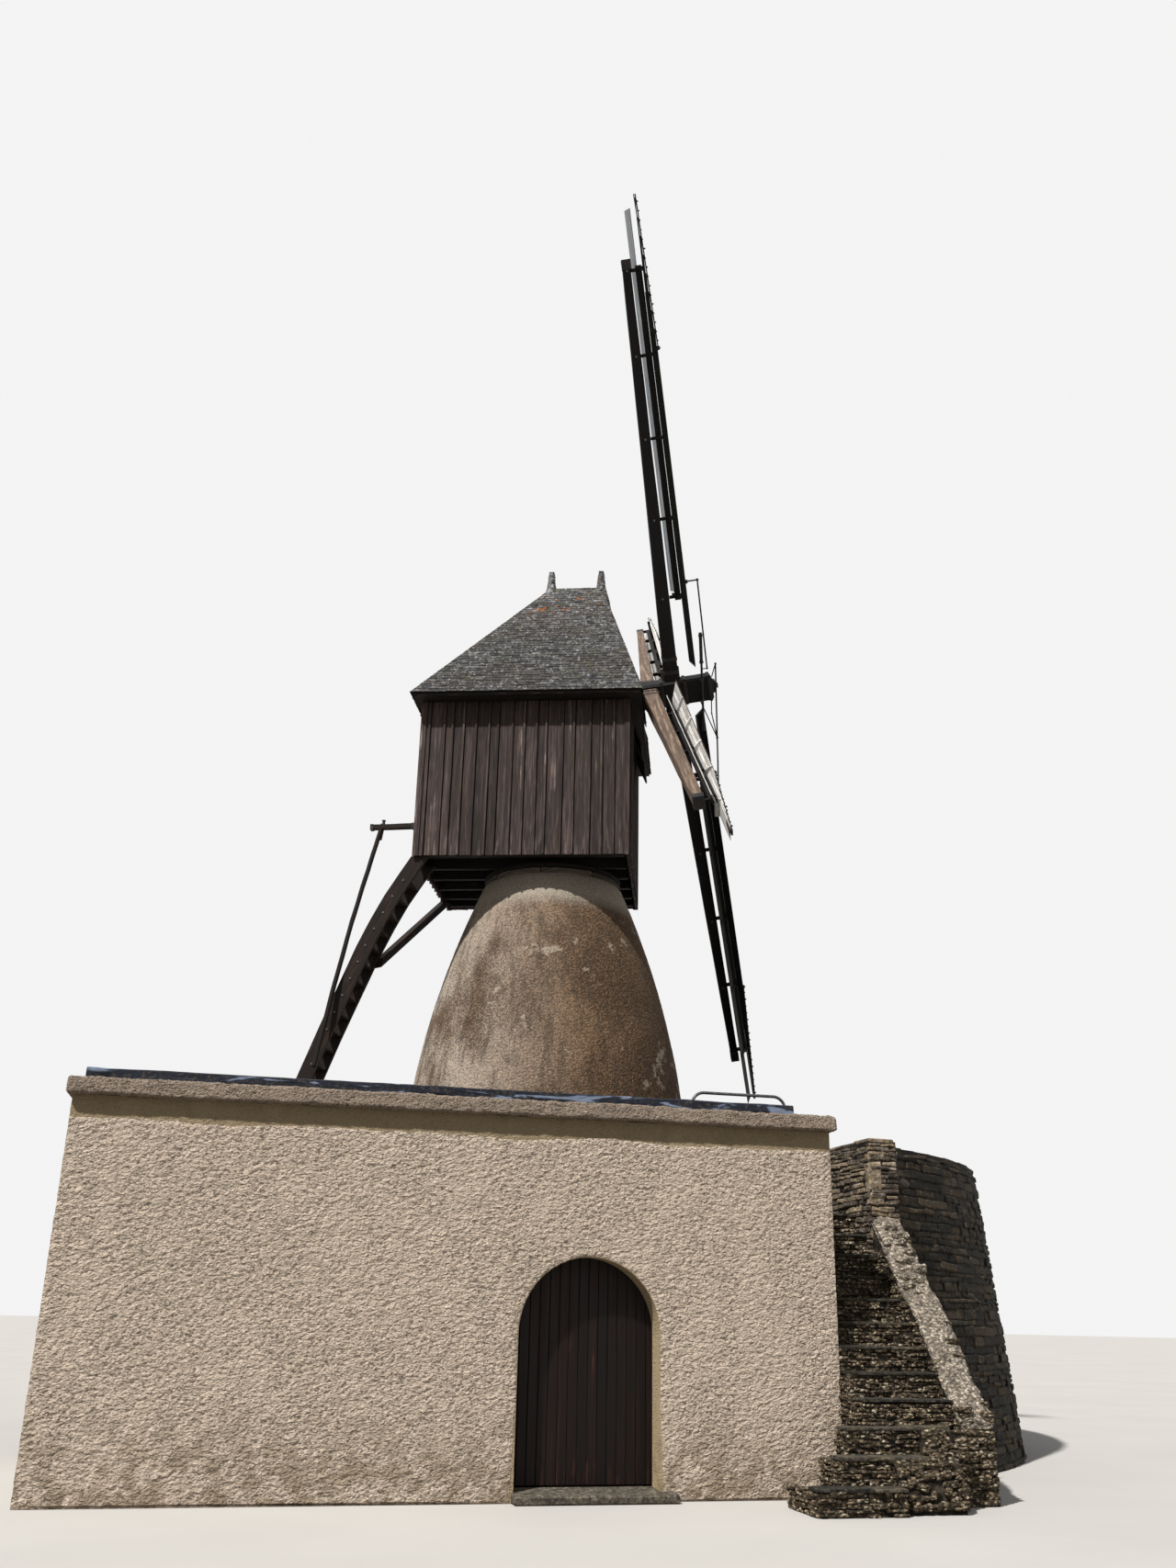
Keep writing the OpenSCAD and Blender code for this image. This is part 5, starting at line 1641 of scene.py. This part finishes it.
class WINDMILL_OT_arms(Maker):
    """Stepped cross arms with their gussets and posts, the rails and the tip bars"""

    bl_idname = "windmill.arms"
    bl_label = "Cross arms"

    def steps(self, r):
        """Outline of a cross arm, stepped under the planks that it carries."""
        first = 0 if r + 0.05 < plank_end(0) else 1
        last = max(j for j in range(10) if r + 0.05 < plank_end(j))
        seat = [PLANK_STEP * j - 0.0003 for j in range(10)]
        right = [plank_left(j, r) + 0.178 for j in range(10)]
        left = plank_left(first, r) - 0.01
        outline = [(left, -0.045), (left, seat[first])]
        for j in range(first, last):
            outline += [(right[j], seat[j]), (right[j], seat[j + 1])]
        return outline + [(right[last], seat[last]), (right[last], seat[last] - 0.0237), (0.172, -0.045)]

    def make(self):
        bare, dark = Piece("arms_bare"), Piece("arms_tarred")
        gusset = [(0.160, -0.083), (0.160, -0.022), (0.198, -0.022), (0.212, -0.051)]
        gusset += [(0.435, -0.1462), (0.435, -0.1662), (0.245, -0.0816)]
        a, b = tip_bar(1), tip_bar(9)
        over = (a - b).normalized() * 0.04
        for i in range(4):
            at = wing(i)
            for r in ARMS:
                across = at @ FAN @ axes((0, 1, 0), (0, 0, 1), (1, 0, 0), (r - 0.025, 0, 0))
                (bare if i == 1 else dark).plate(self.steps(r), 0.05, across, bevel=0.001)
                dark.plate(gusset, 0.05, across, bevel=0.001)
                foot = r * math.tan(BEND) + 0.118 - 0.055 * (r - TAPER_FROM) / (STOCK_R - TAPER_FROM)
                x0, x1, top = r - 0.025, r + 0.025, 0.285 + r * 0.0157
                post = [(x0, foot), (x1, foot + 0.001), (x1, top), (x0, top)]
                lower = at @ axes((1, 0, 0), (0, 0, 1), (0, -1, 0), (0, -0.014, 0))
                dark.plate(post, 0.054, lower, bevel=0.002)
            at = at @ FAN
            dark.block((5.12, 0.064, 0.098), at @ moved(4.05, 0.14, -0.0615), 0.004, 0.002, 20)
            for lift, thick in ((0, 0.018), (-0.0226, 0.012)):
                under = at @ moved(0, 0, lift)
                dark.beam(b - over, a + over, 0.056, thick, place=under, bevel=0.002, cuts=8, rough=0.002)
        bare.done("sails", "slats", "dark_timber")
        dark.done("sails", "arm_timber", "dark_timber", ["sail_arms"])


class WINDMILL_OT_planks(Maker):
    """Furled sail planks, leading boards and the pins at their tips"""

    bl_idname = "windmill.planks"
    bl_label = "Sail planks"

    def make(self):
        # planks and leading board of each wing
        pale = ("slats", "slats")
        # the outer stock's two leading boards are lit and shaded copies: the first wing's is painted pale,
        # painted light, and the third wing's dark, painted shade
        coats = (("slats_dark", "lead_board"), pale, ("slats_dark", "slats_dark"), pale)
        planks = {coat: Piece(f"planks_{coat}") for coat in ("slats", "slats_dark", "stock_tan")}
        leads = {coat: Piece(f"leading_{coat}") for coat in ("slats", "slats_dark", "lead_board")}
        pins = Piece("tip_pins")
        dice = pins.dice
        a, b = tip_bar(1), tip_bar(9)
        for i in range(4):
            at = wing(i) @ FAN
            for j in range(10):
                start, long, lean = plank_start(j), plank_end(j) - plank_start(j), plank_lean(j)
                out = Vector((math.cos(lean), -math.sin(lean), 0))
                side = Vector((-out.y, out.x, 0))
                foot = Vector((start, 0.03 * j, PLANK_STEP * j + 0.0035))
                bow, phase = dice.uniform(-0.0009, 0.0009), dice.uniform(0, 9)

                def form(co):
                    sway = 0.0022 * noise.noise(Vector((co.x * 0.8, phase, 0)))
                    return Vector((co.x, co.y + sway, co.z + bow * math.sin(co.x * 2.1 + phase)))

                # the outermost plank of the bare sails is browned by the weather
                coat = "stock_tan" if i % 2 and j == 9 else coats[i][0]
                place = at @ axes(out, side, (0, 0, 1), foot + out * long / 2 + side * 0.088)
                planks[coat].block((long, 0.174, 0.0066), place, bevel=0.0012, cuts=20, form=form)
            lead = at @ moved(1.6, 0.245, -0.095) @ turned(-24, "X") @ moved(2.925, 0.1125, 0.006)
            leads[coats[i][1]].block((5.84, 0.222, 0.0116), lead, bevel=0.002, cuts=20, rough=0.002)
            # a row of pins stands on the tip bar over the slanted plank ends
            for k in range(16):
                spot = a + (b - a) * ((k + 0.5) / 16)
                high = dice.uniform(0.016, 0.034)
                pins.rod(spot - Vector((0, 0, 0.005)), spot + Vector((0, 0, high)), 0.016, at, 6, 0.011)
            ball = bmesh.new()
            bmesh.ops.create_uvsphere(ball, u_segments=16, v_segments=10, radius=0.034)
            pins.add(ball, at @ moved(*(b + (b - a).normalized() * 0.045)))
        for coat, boards in planks.items():
            boards.done("sails", coat, "slat_wood", ["sail_planks"] if coat == "slats" else ())
        for coat, boards in leads.items():
            boards.done("sails", coat, "slat_wood")
        pins.done("sails", "iron", "iron")


class WINDMILL_OT_gear(Maker):
    """Nuts and collars on the control rods"""

    bl_idname = "windmill.gear"
    bl_label = "Control gear"

    def make(self):
        kit = Piece("gear_fittings", SAILS)
        up, down = turned(PHI, "X"), turned(PHI + 180, "X")
        # nuts on the long rod before the head
        top, foot = Vector((0.55, -0.28, 0.93)), Vector((0.40, -0.28, -0.66))
        half = (foot - top).normalized() * 0.02
        for share in (0.02, 0.29, 0.98):
            spot = top + (foot - top) * share
            kit.rod(spot - half, spot + half, 0.034, up, 12)
        # pins through the forks
        for at, x, y, z in (
            (up, 0.64, 0.06, 1.75), (up, 0.61, 0.06, 0.29),
            (down, 0.74, 0.12, -0.38), (down, 0.52, 0.12, 1.75),
        ):
            kit.rod((x, y - 0.03, z), (x, y + 0.03, z), 0.015, at, 6)
        for a in range(6):
            kit.rod((0.68, 0.09, 0), (0.70, 0.09, 0), 0.014, turned(60 * a, "X"), 6)
        kit.done("sails", "iron", "iron")


class WINDMILL_OT_coats(Maker):
    """Finishes of the solids that show as they are"""

    bl_idname = "windmill.coats"
    bl_label = "Finishes of the frame"

    def make(self):
        round_wall = [f"round_wall_{k}" for k in range(1, 5)]
        coats = {
            "smooth_render": ("front_wall_left", "front_wall_right", "front_wall_arch"),
            "front_render": ("left_side_wall", "right_side_wall", "back_wall"),
            "sill_stone": ("room_floor",),
            "sheet": ("flat_roof", "roof_upstand"),
            "tube": ("roof_rail",),
            "earth": ("mound_fill",),
            "mortar": ("stair_pier", "stair_steps", "stair_parapet", *round_wall),
            "frame_timber": (
                "shaft_beams", "roof_near_slope", "roof_far_slope", "roof_front_hip", "roof_rear_hip",
            ),
            "iron": ("sail_gear",),
        }
        for coat, nodes in coats.items():
            for name in nodes:
                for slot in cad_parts[name].material_slots:
                    slot.material = finish(coat)


class WINDMILL_OT_stage(Maker):
    """Pale floor, plain light and the camera"""

    bl_idname = "windmill.stage"
    bl_label = "Stage"

    def make(self):
        scene = bpy.context.scene
        scene.view_settings.view_transform = "Standard"
        mesh = bpy.data.meshes.new("studio_floor")
        ground = bmesh.new()
        bmesh.ops.create_circle(ground, cap_ends=True, segments=96, radius=160)
        ground.to_mesh(mesh)
        ground.free()
        floor = bpy.data.objects.new("studio_floor", mesh)
        floor.location = (0, 0, -0.002)
        scene.collection.objects.link(floor)
        f = Finish("studio_floor")
        soft = f.ramp(f.cloud(f.spot(), 0.4, 3), (0.3, "c9c7c3"), (0.7, "cfcdc9"))
        f.put(base_color=f.mix("736f69", soft, f.seen()), roughness=0.95)
        mesh.materials.append(f.material)
        world = bpy.data.worlds.new("studio")
        scene.world = world
        world.use_nodes = True
        sky = Nodes(world.node_tree)
        back = sky.tree.nodes["Background"].inputs
        sky.feed(back["Color"], (1.0, 1.0, 1.0))
        # the sky lights the scene softly and looks paler than that
        power = sky.node("MapRange", {}, {"Value": sky.seen(), "To Min": 0.27, "To Max": 0.90})
        sky.feed(back["Strength"], power)
        lamp = bpy.data.lights.new("key", "SUN")
        lamp.energy = 3.9
        lamp.angle = math.radians(2.0)
        lamp.color = (1.0, 0.975, 0.94)
        key = bpy.data.objects.new("key", lamp)
        # from the left and high, as in the photograph
        way = Vector((0.62, 0.52, -1.05)).normalized()
        key.rotation_euler = way.to_track_quat("-Z", "Y").to_euler()
        scene.collection.objects.link(key)
        lens = bpy.data.cameras.new("camera")
        lens.lens = 31.36
        lens.sensor_width = 36.0
        lens.clip_end = 600
        camera = bpy.data.objects.new("camera", lens)
        right0, up0 = Vector((0.97185, -0.23562, 0.0)), Vector((-0.08489, -0.35014, 0.93284))
        right = right0 * 0.999815 + up0 * 0.019232
        up = up0 * 0.999815 - right0 * 0.019232
        camera.matrix_world = axes(right, up, right.cross(up), (-4.337, -20.107, 1.596))
        scene.collection.objects.link(camera)
        scene.camera = camera


MAKERS = (
    WINDMILL_OT_stage,
    WINDMILL_OT_coats,
    WINDMILL_OT_front,
    WINDMILL_OT_coping,
    WINDMILL_OT_roof_edge,
    WINDMILL_OT_door,
    WINDMILL_OT_mound,
    WINDMILL_OT_round_wall,
    WINDMILL_OT_stair,
    WINDMILL_OT_cone,
    WINDMILL_OT_cabin,
    WINDMILL_OT_underside,
    WINDMILL_OT_slates,
    WINDMILL_OT_apron,
    WINDMILL_OT_tail,
    WINDMILL_OT_shaft,
    WINDMILL_OT_stocks,
    WINDMILL_OT_arms,
    WINDMILL_OT_planks,
    WINDMILL_OT_gear,
)


class WINDMILL_PT_panel(bpy.types.Panel):
    """Sizes, colours and makers of the windmill"""

    bl_idname = "WINDMILL_PT_panel"
    bl_label = "Windmill"
    bl_space_type = "VIEW_3D"
    bl_region_type = "UI"
    bl_category = "Windmill"

    def draw(self, context):
        for group in (context.scene.windmill_sizes, context.scene.windmill_colours):
            column = self.layout.column(align=True)
            for key in group.__annotations__:
                column.prop(group, key)
        for maker in MAKERS:
            self.layout.operator(maker.bl_idname)


CLASSES = (WINDMILL_PG_sizes, WINDMILL_PG_colours, *MAKERS, WINDMILL_PT_panel)


def register():
    for cls in CLASSES:
        bpy.utils.register_class(cls)
    bpy.types.Scene.windmill_sizes = PointerProperty(type=WINDMILL_PG_sizes)
    bpy.types.Scene.windmill_colours = PointerProperty(type=WINDMILL_PG_colours)


def unregister():
    del bpy.types.Scene.windmill_colours
    del bpy.types.Scene.windmill_sizes
    for cls in reversed(CLASSES):
        bpy.utils.unregister_class(cls)


def main():
    register()
    for maker in MAKERS:
        group, name = maker.bl_idname.split(".")
        getattr(getattr(bpy.ops, group), name)()


if __name__ == "__main__":
    main()
